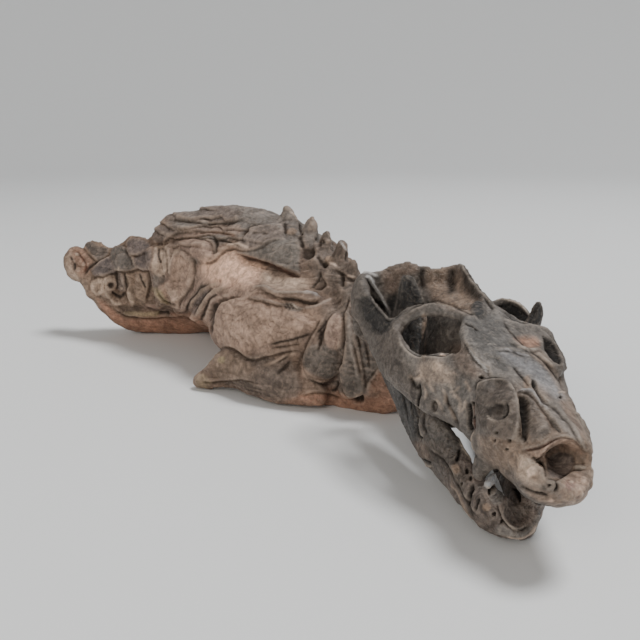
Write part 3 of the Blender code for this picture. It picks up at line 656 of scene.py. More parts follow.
craniumAreas = [
    # name, height in mm, border in pixels, shade, amount, darkening by dirt and painted shade, outline in
    # pixels of the photograph
    ("wall behind the eye", 0, 5, tan, 0.75, 0,
     [(425, 270), (455, 266), (468, 285), (480, 300), (470, 312), (430, 300)]),
    # painted shade in the wall's deep corner
    ("deep corner of the wall", -0.3, 4, darkBrown, 0.7, 0.4,
     [(460, 270), (472, 284), (484, 296), (478, 303), (462, 288)]),
    ("wall of the crest", 0, 4, brown, 0.7, 0,
     [(382, 272), (394, 262), (414, 262), (418, 272), (404, 276), (398, 292), (384, 290)]),
    # painted shade in the corner of the window
    ("dark corner of the window", -0.3, 3, openingShade, 0.85, 0.3,
     [(388, 298), (396, 292), (402, 292), (402, 308), (394, 320), (386, 308)]),
    ("left eye's bar", 0, 3, greyBrown, 0.8, 0,
     [(502, 316), (520, 323), (545, 328), (552, 334), (545, 342), (524, 336), (508, 328)]),
    ("behind the left eye", 0, 2.5, umber, 0.9, 0.3,
     [(548, 338), (560, 342), (568, 355), (568, 374), (556, 364), (549, 350)]),
    ("forehead", 0, 6, ashGrey, 0.8, 0,
     [(462, 318), (490, 312), (505, 330), (520, 352), (505, 372), (488, 360), (470, 340)]),
    # painted highlight on the nose
    ("pale band of the nose", 0.1, 6, highlightGrey, 0.7, 0,
     [(500, 352), (520, 356), (541, 366), (558, 384), (564, 396), (556, 400), (546, 392), (532, 379),
      (515, 366)]),
    ("orange hollow", -0.35, 3, orange, 0.7, 0,
     [(514, 339), (523, 337), (536, 339), (541, 346), (532, 348), (522, 346)]),
    ("left side of the roof", 0, 3, tan, 0.6, 0,
     [(540, 348), (552, 362), (563, 385), (566, 396), (556, 384), (544, 366), (530, 354)]),
    ("brown cheek", 0, 6, brown, 0.6, 0,
     [(450, 348), (462, 343), (474, 362), (487, 374), (470, 378), (455, 366)]),
    ("cream cheek", 0.1, 7, cream, 0.5, 0,
     [(421, 362), (436, 360), (446, 366), (456, 378), (448, 386), (434, 384), (418, 378)]),
    ("mottled cheek", 0, 5, boneGrey, 0.6, 0,
     [(428, 386), (450, 380), (470, 382), (466, 410), (450, 416), (438, 400)]),
    ("snout's side", 0.3, 2, umber, 0.85, 0,
     [(478, 383), (494, 379), (507, 381), (514, 389), (518, 400), (520, 418), (519, 436), (506, 440),
      (484, 430), (476, 410)]),
    ("lip", 0, 5, tan, 0.55, 0, [(478, 436), (500, 438), (522, 446), (524, 462), (508, 470), (484, 458)]),
    ("hollow over the lip", -0.5, 2, darkBrown, 0.75, 0.2,
     [(487, 410), (497, 404), (507, 406), (508, 415), (498, 421), (489, 418)]),
    ("ridge beside the groove", 0.3, 3, greyBrown, 0.7, 0,
     [(528, 396), (536, 402), (545, 414), (552, 428), (546, 436), (533, 442), (529, 430), (529, 412)]),
    ("left ridge of the nose", 0.1, 3, boneGrey, 0.7, 0,
     [(541, 402), (556, 402), (568, 414), (580, 436), (586, 450), (574, 440), (562, 428), (550, 414)]),
    ("stain along the left", 0, 2, brown, 0.75, 0,
     [(561, 400), (569, 402), (577, 420), (586, 440), (578, 430), (567, 414)]),
    # partly painted light: the roof's own tan, made brighter to stand in for light under the rim
    ("roof of the nostril", -0.1, 3.5, roseTan, 0.85, 0,
     [(530, 450), (541, 447), (551, 442), (561, 438), (573, 440), (581, 448), (583, 456), (574, 453),
      (563, 451), (553, 454), (547, 461), (538, 462), (530, 457)]),
    ("nostril", -0.3, 2, taupe, 0.9, 0,
     [(549, 458), (560, 453), (572, 457), (573, 466), (566, 475), (554, 477), (548, 470)]),
    # painted shade in the small nostril
    ("small nostril", -1.0, 1.2, nearBlack, 0.8, 0.5, [(532, 459), (540, 460), (543, 466), (538, 466)]),
    ("front lip, right lobe", 0.4, 4, cream, 0.75, 0,
     [(520, 456), (530, 459), (540, 467), (544, 476), (543, 483), (535, 486), (524, 483), (517, 474)]),
    ("front lip, left lobe", 0.4, 4, roseTan, 0.5, 0,
     [(563, 479), (573, 472), (583, 474), (590, 484), (588, 495), (578, 503), (566, 506), (560, 494)]),
    ("front lip, below", 0.1, 3, tan, 0.7, 0,
     [(520, 486), (540, 490), (556, 498), (564, 506), (548, 506), (530, 497)]),
    # painted shade inside the left eye
    ("left eye's inside", -0.6, 1.5, nearBlack, 0.9, 0.8,
     [(543, 337), (552, 342), (560, 354), (562, 364), (555, 362), (546, 350)]),
    *insideEye,
    ("arch behind the eye", 0, 5, umber, 0.6, 0,
     [(370, 325), (396, 322), (402, 350), (396, 372), (380, 352)]),
    # painted shade in the arch's hollow
    ("hollow of the arch", -0.9, 4, openingShade, 0.85, 0.4,
     [(356, 300), (372, 296), (390, 310), (388, 326), (378, 336), (362, 326)]),
    ("side of the blade", 0, 5, umber, 0.5, 0,
     [(380, 340), (400, 352), (404, 372), (416, 380), (420, 400), (400, 396), (384, 366)]),
    ("disc on the roof", 0.5, 1.2, nearBlack, 0.95, 0,
     [(472, 306), (476, 301), (482, 302), (485, 308), (484, 316), (473, 316)]),
    # painted shade in the far window
    ("far window", -0.5, 2, openingShade, 0.85, 0.3,
     [(500, 306), (510, 303), (521, 308), (529, 316), (530, 323), (520, 324), (508, 316)]),
]
craniumLedges = [
    # name, height in mm, reach in pixels, points; the high side is on the right hand
    ("brow over the eye", 0.45, 5,
     [(490, 378), (489, 371), (484, 366), (476, 359), (471, 352), (466, 345), (463, 339)]),
    ("snout's side, top", 0.3, 5, [(476, 392), (478, 384), (486, 380), (496, 379), (508, 381)]),
    ("snout's side, front", 0.45, 4,
     [(507, 380), (514, 389), (518, 400), (520, 412), (519, 428), (520, 438), (526, 447)]),
    ("snout's side, back", 0.4, 4, [(478, 458), (474, 450), (472, 443), (473, 436), (477, 429)]),
    ("ridge on the nose", 0.4, 5,
     [(560, 433), (556, 424), (551, 415), (545, 408), (540, 402), (534, 396), (528, 391), (519, 391)]),
    ("left nose bone", 0.3, 4, [(586, 452), (578, 437), (568, 420), (556, 408), (546, 402), (540, 395)]),
    ("pale step of the forehead", 0.3, 4, [(541, 350), (530, 351), (520, 346), (508, 340)]),
    ("second step", 0.25, 4, [(526, 356), (516, 352), (506, 349), (495, 350)]),
    ("third step", 0.2, 3, [(556, 372), (546, 360), (536, 353)]),
    ("rim of the nostril", 0.2, 4,
     [(586, 456), (576, 442), (566, 437), (558, 438), (550, 442), (540, 447), (530, 450), (521, 451)]),
    ("lower rim of the nostril", 0.4, 3,
     [(546, 480), (553, 481), (560, 480), (567, 475), (576, 471), (588, 470)]),
    ("front lip's inner edge", 0.4, 3, [(529, 459), (537, 463), (543, 470), (545, 480)]),
    ("eye's lower rim", 0.35, 4,
     [(400, 338), (402, 345), (408, 353), (417, 357), (430, 356), (440, 357), (448, 354), (457, 347)]),
    ("top of the eye's bar", 0.25, 3,
     [(403, 316), (415, 308), (430, 303), (445, 304), (458, 309), (470, 314), (480, 318)]),
    ("left eye bar's top", 0.2, 3,
     [(500, 316), (510, 321), (520, 324), (535, 325), (545, 328), (551, 333)]),
    ("crest behind the roof", 0.3, 3,
     [(461, 264), (466, 274), (475, 283), (482, 291), (488, 297), (492, 305)]),
    ("arch's sharp edge", 0.4, 3, [(390, 319), (389, 310), (385, 304), (380, 295), (371, 284), (365, 273)]),
]
craniumLines = [
    # name, height in mm, width in pixels, shade, points
    ("groove of the snout", -1.3, 3, nearBlack,
     [(522, 394), (525, 403), (527, 415), (527, 428), (524, 438), (521, 444)]),
    ("nose suture", -0.5, 1.2, darkBrown, [(553, 416), (557, 424), (562, 434)]),
    ("pit line", -0.5, 1.5, darkBrown, [(533, 380), (536, 392), (540, 398), (545, 405)]),
    ("suture of the roof", -0.3, 1.2, darkBrown, [(512, 366), (522, 378), (530, 388)]),
    ("roof line", -0.15, 1, umber,
     [(500, 316), (508, 330), (516, 338), (530, 350), (545, 362), (556, 378), (563, 392)]),
    ("temple line", -0.3, 1.3, darkBrown, [(462, 322), (470, 325), (478, 331)]),
    ("front lip's suture", -0.6, 1.5, darkBrown, [(556, 480), (558, 487), (555, 494)]),
    ("lip's fold", -0.3, 1.6, darkBrown, [(520, 486), (530, 492), (541, 495), (549, 498)]),
    ("slot before the cheek", -1.2, 2.4, nearBlack, [(469, 402), (470, 412), (469, 424), (471, 432)]),
    ("slot's second crack", -0.6, 1.3, redBrown, [(475, 402), (475, 412), (474, 424), (476, 430)]),
    ("cheek crack", -0.7, 1.4, nearBlack, [(419, 382), (420, 392), (418, 400), (417, 412)]),
    ("cheek fold", -0.4, 2.4, darkBrown, [(409, 374), (414, 384), (419, 390)]),
    ("cheek groove", -0.3, 2, darkBrown, [(446, 392), (448, 404), (454, 416), (458, 428)]),
    ("nostril's red rim", -0.25, 1.1, redBrown,
     [(524, 452), (531, 450), (541, 447), (551, 442), (559, 438)]),
    ("wall's fold", -0.3, 3, umber, [(425, 268), (421, 277), (424, 290)]),
    ("wall's second fold", -0.2, 5, umber, [(454, 268), (450, 282), (452, 296)]),
    ("crest's cleft", -0.6, 1.6, nearBlack, [(484, 296), (489, 303), (494, 309)]),
    # painted highlight on the snout's edge
    ("bright edge of the snout", 0.3, 1, paleBone,
     [(509, 381), (515, 390), (519, 401), (521, 412), (520, 428)]),
    # painted highlight on the nose's edge
    ("glossy edge of the nose", 0.2, 1, blueGrey,
     [(519, 390), (528, 390), (535, 395), (541, 401), (549, 409)]),
    # painted highlight on the brow's edge
    ("white brow edge", 0.2, 0.8, whitish, [(467, 347), (474, 357), (484, 367), (489, 373)]),
    ("eye's white rim", 0.15, 0.8, paleBone, [(402, 343), (407, 352), (416, 357), (428, 357), (442, 357)]),
    # painted highlight on the arch's edge
    ("white arch edge", 0.25, 1.3, whitish, [(368, 275), (372, 284), (380, 295), (386, 305), (390, 317)]),
    ("white tear at the back", 0.2, 1.3, whitish, [(363, 273), (368, 272), (373, 275), (378, 277)]),
    ("white tear at the back", 0.1, 1.1, whitish, [(366, 277), (371, 279), (374, 283)]),
    ("far window's rim", 0.2, 1, paleBone, [(494, 301), (502, 299), (511, 300), (520, 304), (528, 311)]),
    # painted highlight on the slot's edge
    ("bright slot edge", 0.2, 1.2, paleCream, [(476, 430), (473, 437), (472, 444), (475, 453)]),
    ("foramen's bright rim", 0.15, 0.6, paleBone, [(488, 415), (491, 419), (497, 421)]),
    ("foramen's dark crescent", -0.6, 1.4, nearBlack, [(506, 403), (508, 408), (506, 414), (500, 418)]),
    ("flecks on the nose", 0.15, 0.7, paleCream, [(557, 393), (562, 392), (567, 393)]),
    ("fleck on the forehead", 0.05, 0.5, boneGrey, [(486, 344), (491, 344), (497, 345)]),
    ("second fleck", 0.05, 0.5, boneGrey, [(487, 335), (490, 333), (493, 333)]),
    ("third fleck", 0.1, 0.6, blueGrey, [(500, 350), (506, 349), (513, 352)]),
    ("fourth fleck", 0.1, 0.6, blueGrey, [(516, 352), (523, 355), (530, 356)]),
    ("orange hollow's pale step", 0.15, 0.9, paleBone, [(517, 346), (526, 349), (538, 350)]),
]
craniumVeins = [
    # width and points
    (2.4, [(434, 360), (438, 365), (443, 369)]),
    (1.6, [(429, 382), (432, 387), (436, 391)]),
    (1.8, [(440, 372), (445, 378), (449, 381), (455, 383)]),
    (1.8, [(453, 394), (459, 399), (461, 405), (459, 415)]),
    (1.5, [(465, 380), (468, 386), (471, 392)]),
    (1.4, [(443, 388), (446, 396), (445, 404)]),
    (1.6, [(424, 364), (421, 370), (423, 377)]),
    (1.4, [(436, 398), (440, 404), (442, 411)]),
    (1.6, [(408, 375), (414, 378), (421, 378)]),
    (1.2, [(449, 406), (452, 414), (456, 422)]),
    (1.2, [(446, 374), (452, 372), (458, 375)]),
    (1.2, [(424, 384), (427, 392), (425, 399)]),
    (1.3, [(461, 386), (456, 391), (450, 392)]),
    (1.1, [(466, 400), (465, 408), (462, 413)]),
]
craniumSpots = [
    # name, height in mm, shade, centre and radii in pixels, darkening, which is painted shade in the pits and
    # holes
    # painted shade in the pit on the nose
    ("pit on the nose", -0.8, nearBlack, (534, 385), (2.4, 4.5), 0.8),
    ("brown patch by the pit", 0, tan, (527, 383), (4, 6), 0),
    # painted shade in the holes, pits and notch from here to the slot's pits
    ("cheek's oval hole", -0.5, umber, (434, 406), (3, 6), 0.3),
    ("hole under the flecks", -0.6, nearBlack, (561, 397), (2, 1.6), 0.9),
    ("lip pit", -0.4, umber, (498, 433), (1.6, 1.6), 0.5),
    ("lip pit", -0.4, umber, (495, 441), (1.4, 1.4), 0.5),
    ("lip pit", -0.4, umber, (510, 441), (1.6, 1.4), 0.5),
    ("lip pit", -0.4, umber, (507, 450), (1.4, 1.4), 0.5),
    ("front lip pit", -0.4, nearBlack, (541, 494), (1.6, 1.2), 0.8),
    ("front lip pit", -0.5, nearBlack, (549, 486), (2, 1.6), 0.8),
    ("brow notch", -0.6, nearBlack, (482, 377), (3, 1.6), 0.8),
    ("slot's pit", -0.6, nearBlack, (474, 404), (1.6, 2.2), 0.9),
    ("slot's pit", -0.6, nearBlack, (474, 418), (1.6, 2.2), 0.9),
    ("pink stain of the lip", -0.1, pinkBrown, (570, 486), (5, 5), 0),
    # painted highlights on the front lip, in this spot and the flecks after it
    ("bright lip", 0.1, roseTan, (578, 492), (4, 4.4), 0),
    ("lip fleck", 0.1, cream, (581, 495), (2, 2.4), 0),
    ("lip fleck", 0.1, cream, (571, 483), (2.4, 1.6), 0),
    ("lip fleck", 0.1, cream, (574, 503), (3, 1.6), 0),
    ("lip fleck", 0.1, roseTan, (552, 503), (3, 2), 0),
    ("lobe of the lip", 0.3, tan, (569, 498), (5, 4), 0),
    ("lobe of the lip", 0.3, roseTan, (583, 481), (3, 3.4), 0),
    ("lobe of the lip", 0.2, paleCream, (532, 474), (4, 4.4), 0),
    ("lobe of the lip", 0.2, cream, (525, 466), (4, 4), 0),
    ("lobe of the lip", 0.2, tan, (536, 480), (5, 4), 0),
    ("brightest cheek", 0.1, cream, (438, 367), (5, 4), 0),
    ("cheek fleck", 0.1, cream, (421, 376), (3, 2), 0),
    ("cheek fleck", 0.1, paleBone, (452, 386), (4, 3), 0),
    ("white speck in the eye", 0, paleCream, (442, 354), (3, 1.5), 0),
    ("debris in the nostril", 0.3, paleBone, (580, 467), (6, 2.4), 0),
]


def agedSurface(cadNode, look, zones):
    # the finely meshed copy of a CAD node, weathered, coloured by region, flaked and chipped
    print("shaping", cadNode)
    piece = refineSeen(fineCopy(cadNode, look["voxel"], look["swell"], look["easing"]))
    surface = Surface(piece, look["ground"])
    surface.weather(look["lumps"], look["lumpSeed"])
    for bed in look["beds"]:
        surface.bedding(*bed)
    for zone in zones:
        surface.zone(*zone)
    for flake in look["flakes"]:
        surface.flakes(*flake)
    surface.chip(*look["chips"])
    return surface


def drawn(surface, areas, ledges, lines, spots):
    for _, height, soft, shade, amount, dirtAndShade, outline in areas:
        surface.area(height, outline, shade, amount, soft, dirtAndShade)
    for _, height, reach, points in ledges:
        surface.ledge(height, reach, points)
    for _, height, width, shade, points in lines:
        surface.line(height, width, points, shade)
    for _, height, shade, centre, radii, dirtAndShade in spots:
        surface.spot(height, centre, radii, shade, dirtAndShade)


def makeCranium():
    surface = agedSurface("cranium", craniumLook, craniumZones)
    strokes = (craniumAreas, craniumLedges, craniumLines, craniumSpots)
    drawn(surface, *strokes)
    for width, points in craniumVeins:
        surface.line(craniumLook["veinHeight"], width, points, cream, craniumLook["veinStrength"])
    surface.lookMirrored(skullMiddle, skullAcross)
    drawn(surface, *strokes)
    placePiece(surface, "skull", "cranium", weatheredMaterial("skull_bone", craniumLook))


jawLook = {
    "ground": greyBrown, "voxel": 0.46, "swell": 0.1, "easing": 3,
    "lumps": [(8, 0.3), (3.5, 0.2), (1.5, 0.12), (0.9, 0.06)], "lumpSeed": 31, "beds": [],
    "flakes": [(6, 0.14, 35, (1, 1, 1), 0.35), (3, 0.08, 38, (1, 1, 1), 0.25)],
    "chips": (0.6, 2, 44),
    "mottleScale": 280.0, "crackScale": 200.0, "grit": 0.5, "mottleDark": 0.7, "mottleLight": 1.3,
    "specks": 0.2, "speckShade": tuple(tan), "cracks": 0.4, "dirtAndShade": 0.85, "dirtAndShadeColour": tuple(nearBlack),
    "wearAndHighlightStrength": 0.5, "wearAndHighlightColour": tuple(paleBone), "roughest": 0.72, "smoothest": 0.48, "shine": 0.45,
    "reliefStrength": 0.7, "relief": 0.4,
}
jawZones = [
    # shade, centre and radii in mm, amount
    (darkGrey, (58, -2, 22), (18, 40, 22), 0.7),
    (taupe, (96, -24, 8), (14, 14, 12), 0.7),
]
jawAreas = [
    # name, height in mm, border in pixels, shade, amount, darkening by dirt and painted shade, outline in
    # pixels of the photograph
    ("top of the blade", 0.2, 1.5, nearBlack, 0.85, 0,
     [(397, 310), (400, 284), (404, 274), (410, 272), (417, 276), (422, 288), (426, 310)]),
    # painted shade on the far blade's side turned from the light
    ("far blade's dark side", 0, 1.2, nearBlack, 0.9, 0,
     [(524, 328), (529, 318), (533, 308), (538, 302), (541, 310), (539, 328)]),
    # painted shade in the eye, on the blade
    ("blade in the eye", 0, 3, openingShade, 0.85, 0, [(400, 326), (424, 318), (424, 360), (402, 354)]),
    *insideEye,
    ("smooth blade", 0, 4, darkGrey, 0.8, 0,
     [(388, 378), (402, 374), (412, 390), (418, 430), (412, 440), (402, 418), (392, 396)]),
    ("brown patch", 0.2, 2, brown, 0.5, 0,
     [(415, 442), (424, 443), (431, 452), (432, 461), (423, 458), (418, 451)]),
    ("jaw's side", 0.1, 4, umber, 0.8, 0,
     [(424, 440), (444, 446), (466, 480), (470, 500), (452, 480), (436, 464)]),
    ("lower edge", 0.1, 2.5, umber, 0.6, 0,
     [(448, 480), (456, 492), (466, 512), (480, 527), (470, 505), (460, 486)]),
    ("tooth and matrix", 0.2, 1.5, boneGrey, 0.85, 0,
     [(476, 463), (484, 462), (488, 468), (484, 478), (480, 488), (475, 484)]),
    # painted shade in the hole
    ("hole by the tooth", -1.2, 1.2, nearBlack, 0.95, 1,
     [(489, 468), (493, 464), (497, 469), (494, 472), (489, 472)]),
    ("pale tooth", 0.4, 1.5, toothGrey, 0.9, 0,
     [(484, 474), (492, 472), (500, 475), (502, 481), (494, 484), (488, 489), (483, 486)]),
    # painted shade in the gap
    ("gap under the tooth", -1, 1.3, nearBlack, 0.95, 1,
     [(487, 490), (491, 486), (497, 482), (496, 486), (491, 492), (488, 495)]),
    ("second tooth", 0.4, 1.5, ashGrey, 0.8, 0,
     [(490, 492), (497, 486), (501, 490), (500, 503), (494, 505), (489, 500)]),
    # painted shade in the notch
    ("notch under the lip", -0.9, 1.4, nearBlack, 0.95, 1,
     [(512, 489), (516, 489), (520, 495), (517, 500)]),
    ("hollow of the chin", -0.5, 3, umber, 0.7, 0.1,
     [(504, 502), (522, 499), (530, 506), (528, 516), (514, 524), (504, 516)]),
    ("rim of the chin", 0.3, 2.5, boneGrey, 0.8, 0,
     [(500, 524), (514, 529), (530, 525), (537, 512), (539, 520), (535, 530), (522, 537), (506, 537),
      (494, 532)]),
    ("tan of the chin", 0.1, 3, umber, 0.35, 0,
     [(478, 498), (492, 506), (500, 518), (492, 526), (480, 518), (474, 508)]),
]
jawLedges = [
    # name, height in mm, reach in pixels, points; the high side is on the right hand
    ("lip over the chin's hollow", 0.5, 3, [(530, 523), (517, 529), (505, 523), (499, 512), (497, 504)]),
    ("jaw's lower ridge", 0.3, 4, [(482, 522), (470, 506), (460, 488), (450, 470), (438, 456), (428, 446)]),
    ("edge of the blade", 0.3, 4, [(424, 446), (420, 430), (417, 410), (412, 392), (405, 378)]),
    ("rim along the slit", 0.3, 2.5, [(459, 430), (462, 446), (470, 458), (476, 466)]),
    ("far blade's edge", 0.2, 2, [(412, 275), (417, 284), (421, 295), (424, 306)]),
]
jawLines = [
    # name, height in mm, width in pixels, shade, points
    ("crack by the slit", -0.7, 1.6, nearBlack, [(460, 449), (459, 456), (456, 463)]),
    ("cracks of the corner", -0.9, 1.7, nearBlack, [(474, 484), (470, 494), (469, 503), (468, 508)]),
    ("second crack", -0.6, 1.3, nearBlack, [(479, 499), (477, 506), (476, 512)]),
    ("crack along the blade", -0.5, 1.4, nearBlack,
     [(418, 384), (417, 398), (419, 414), (417, 428), (419, 436), (426, 439)]),
    ("second blade crack", -0.3, 1.2, darkBrown, [(424, 396), (425, 410), (424, 424), (428, 436)]),
    ("blade streak", -0.15, 1.2, nearBlack, [(400, 384), (404, 400), (410, 424)]),
    ("blade streak", -0.15, 1.2, nearBlack, [(408, 386), (411, 404), (414, 420)]),
    ("side groove", -0.35, 2, darkBrown, [(434, 448), (444, 462), (456, 478), (464, 494)]),
    ("spike", 0.4, 1.2, paleBone, [(419, 461), (425, 465), (432, 467)]),
    ("spike's shadow", -0.4, 1.2, nearBlack, [(420, 459), (426, 461), (431, 464)]),
    ("slit's pale rim", 0.25, 1.1, paleBone, [(459, 436), (463, 449), (471, 460), (476, 465)]),
    ("pale tooth's edge", 0.2, 1, paleBone, [(484, 485), (490, 488), (496, 483), (501, 480)]),
    ("edge fibres", 0.2, 1.0, tan, [(450, 482), (458, 494), (464, 508), (474, 522)]),
    ("chin's shine", 0.15, 1.1, paleCream, [(505, 536), (517, 538), (529, 534), (536, 524)]),
    ("bowl's streak", 0.15, 1.1, paleBone, [(508, 524), (514, 529), (522, 530)]),
]
jawSpots = [
    # name, height in mm, shade, centre and radii in pixels, darkening, which is painted shade in the pits and
    # holes
    # painted shade in the pits and chin holes below
    ("pit", -0.5, nearBlack, (467, 472), (1.8, 3), 0.9),
    ("pit", -0.5, nearBlack, (471, 480), (1.6, 2.2), 0.9),
    ("pit", -0.5, nearBlack, (462, 484), (1.6, 1.6), 0.8),
    ("chin hole", -0.7, nearBlack, (501, 523), (2, 1.8), 0.9),
    ("chin hole", -0.5, darkBrown, (493, 515), (2, 2.4), 0.7),
    ("light patch", 0.1, tan, (456, 470), (4, 5), 0),
    ("light patch", 0.1, tan, (486, 508), (4, 4), 0),
]


def makeLowerJaw():
    surface = agedSurface("lower_jaw", jawLook, jawZones)
    strokes = (jawAreas, jawLedges, jawLines, jawSpots)
    drawn(surface, *strokes)
    surface.lookMirrored(skullMiddle, skullAcross)
    drawn(surface, *strokes)
    placePiece(surface, "mandible", "lower_jaw", weatheredMaterial("jaw_bone", jawLook))


trunkLook = {
    "ground": brown, "voxel": 0.88, "swell": 0.15, "easing": 2,
    "lumps": [(12, 0.4), (5, 0.3), (2.2, 0.16), (1.1, 0.08)], "lumpSeed": 61,
    "beds": [(3.4, 0.8, (-38, 6, 43), (30, 13, 8), 81), (13, 0.25, (-26, 40, 8), (90, 16, 16), 84)],
    "flakes": [(14, 0.25, 65, (1.5, 1, 0.8), 0.22), (6, 0.14, 68, (1.3, 1, 0.8), 0.12)],
    "chips": (0.7, 3, 47),
    "mottleScale": 200.0, "crackScale": 130.0, "grit": 0.6, "mottleDark": 0.76, "mottleLight": 1.26,
    "specks": 0.2, "speckShade": tuple(cream), "cracks": 0.07, "dirtAndShade": 0.75, "dirtAndShadeColour": tuple(darkBrown),
    "wearAndHighlightStrength": 0.42, "wearAndHighlightColour": tuple(cream), "roughest": 0.78, "smoothest": 0.55, "shine": 0.4,
    "reliefStrength": 0.6, "relief": 0.45,
}
trunkZones = [
    # shade, centre and radii in mm, amount, and how much of it is bare stone
    (tan, (-84, -4, 26), (24, 22, 16), 0.7),
    (boneGrey, (-30, 18, 48), (44, 26, 9), 0.75),
    (pinkTan, (-34, 36, 28), (26, 12, 12), 0.6),
    (greenGrey, (6, 36, 24), (18, 12, 14), 0.6),
    (cream, (-58, 28, 30), (14, 10, 10), 0.5),
    (pinkTan, (-20, -6, 24), (30, 14, 18), 0.7),
    (greyBrown, (36, 4, 14), (16, 16, 26), 0.7),
    (greyBrown, (22, 10, 44), (16, 14, 14), 0.6),
    (orangeBrown, (-56, 12, 2), (60, 24, 11), 0.95, 1),
    (orangeBrown, (20, 16, 2), (40, 28, 7), 0.9, 1),
    (orangeBrown, (-30, 34, 8), (80, 16, 9), 0.8, 1),
]
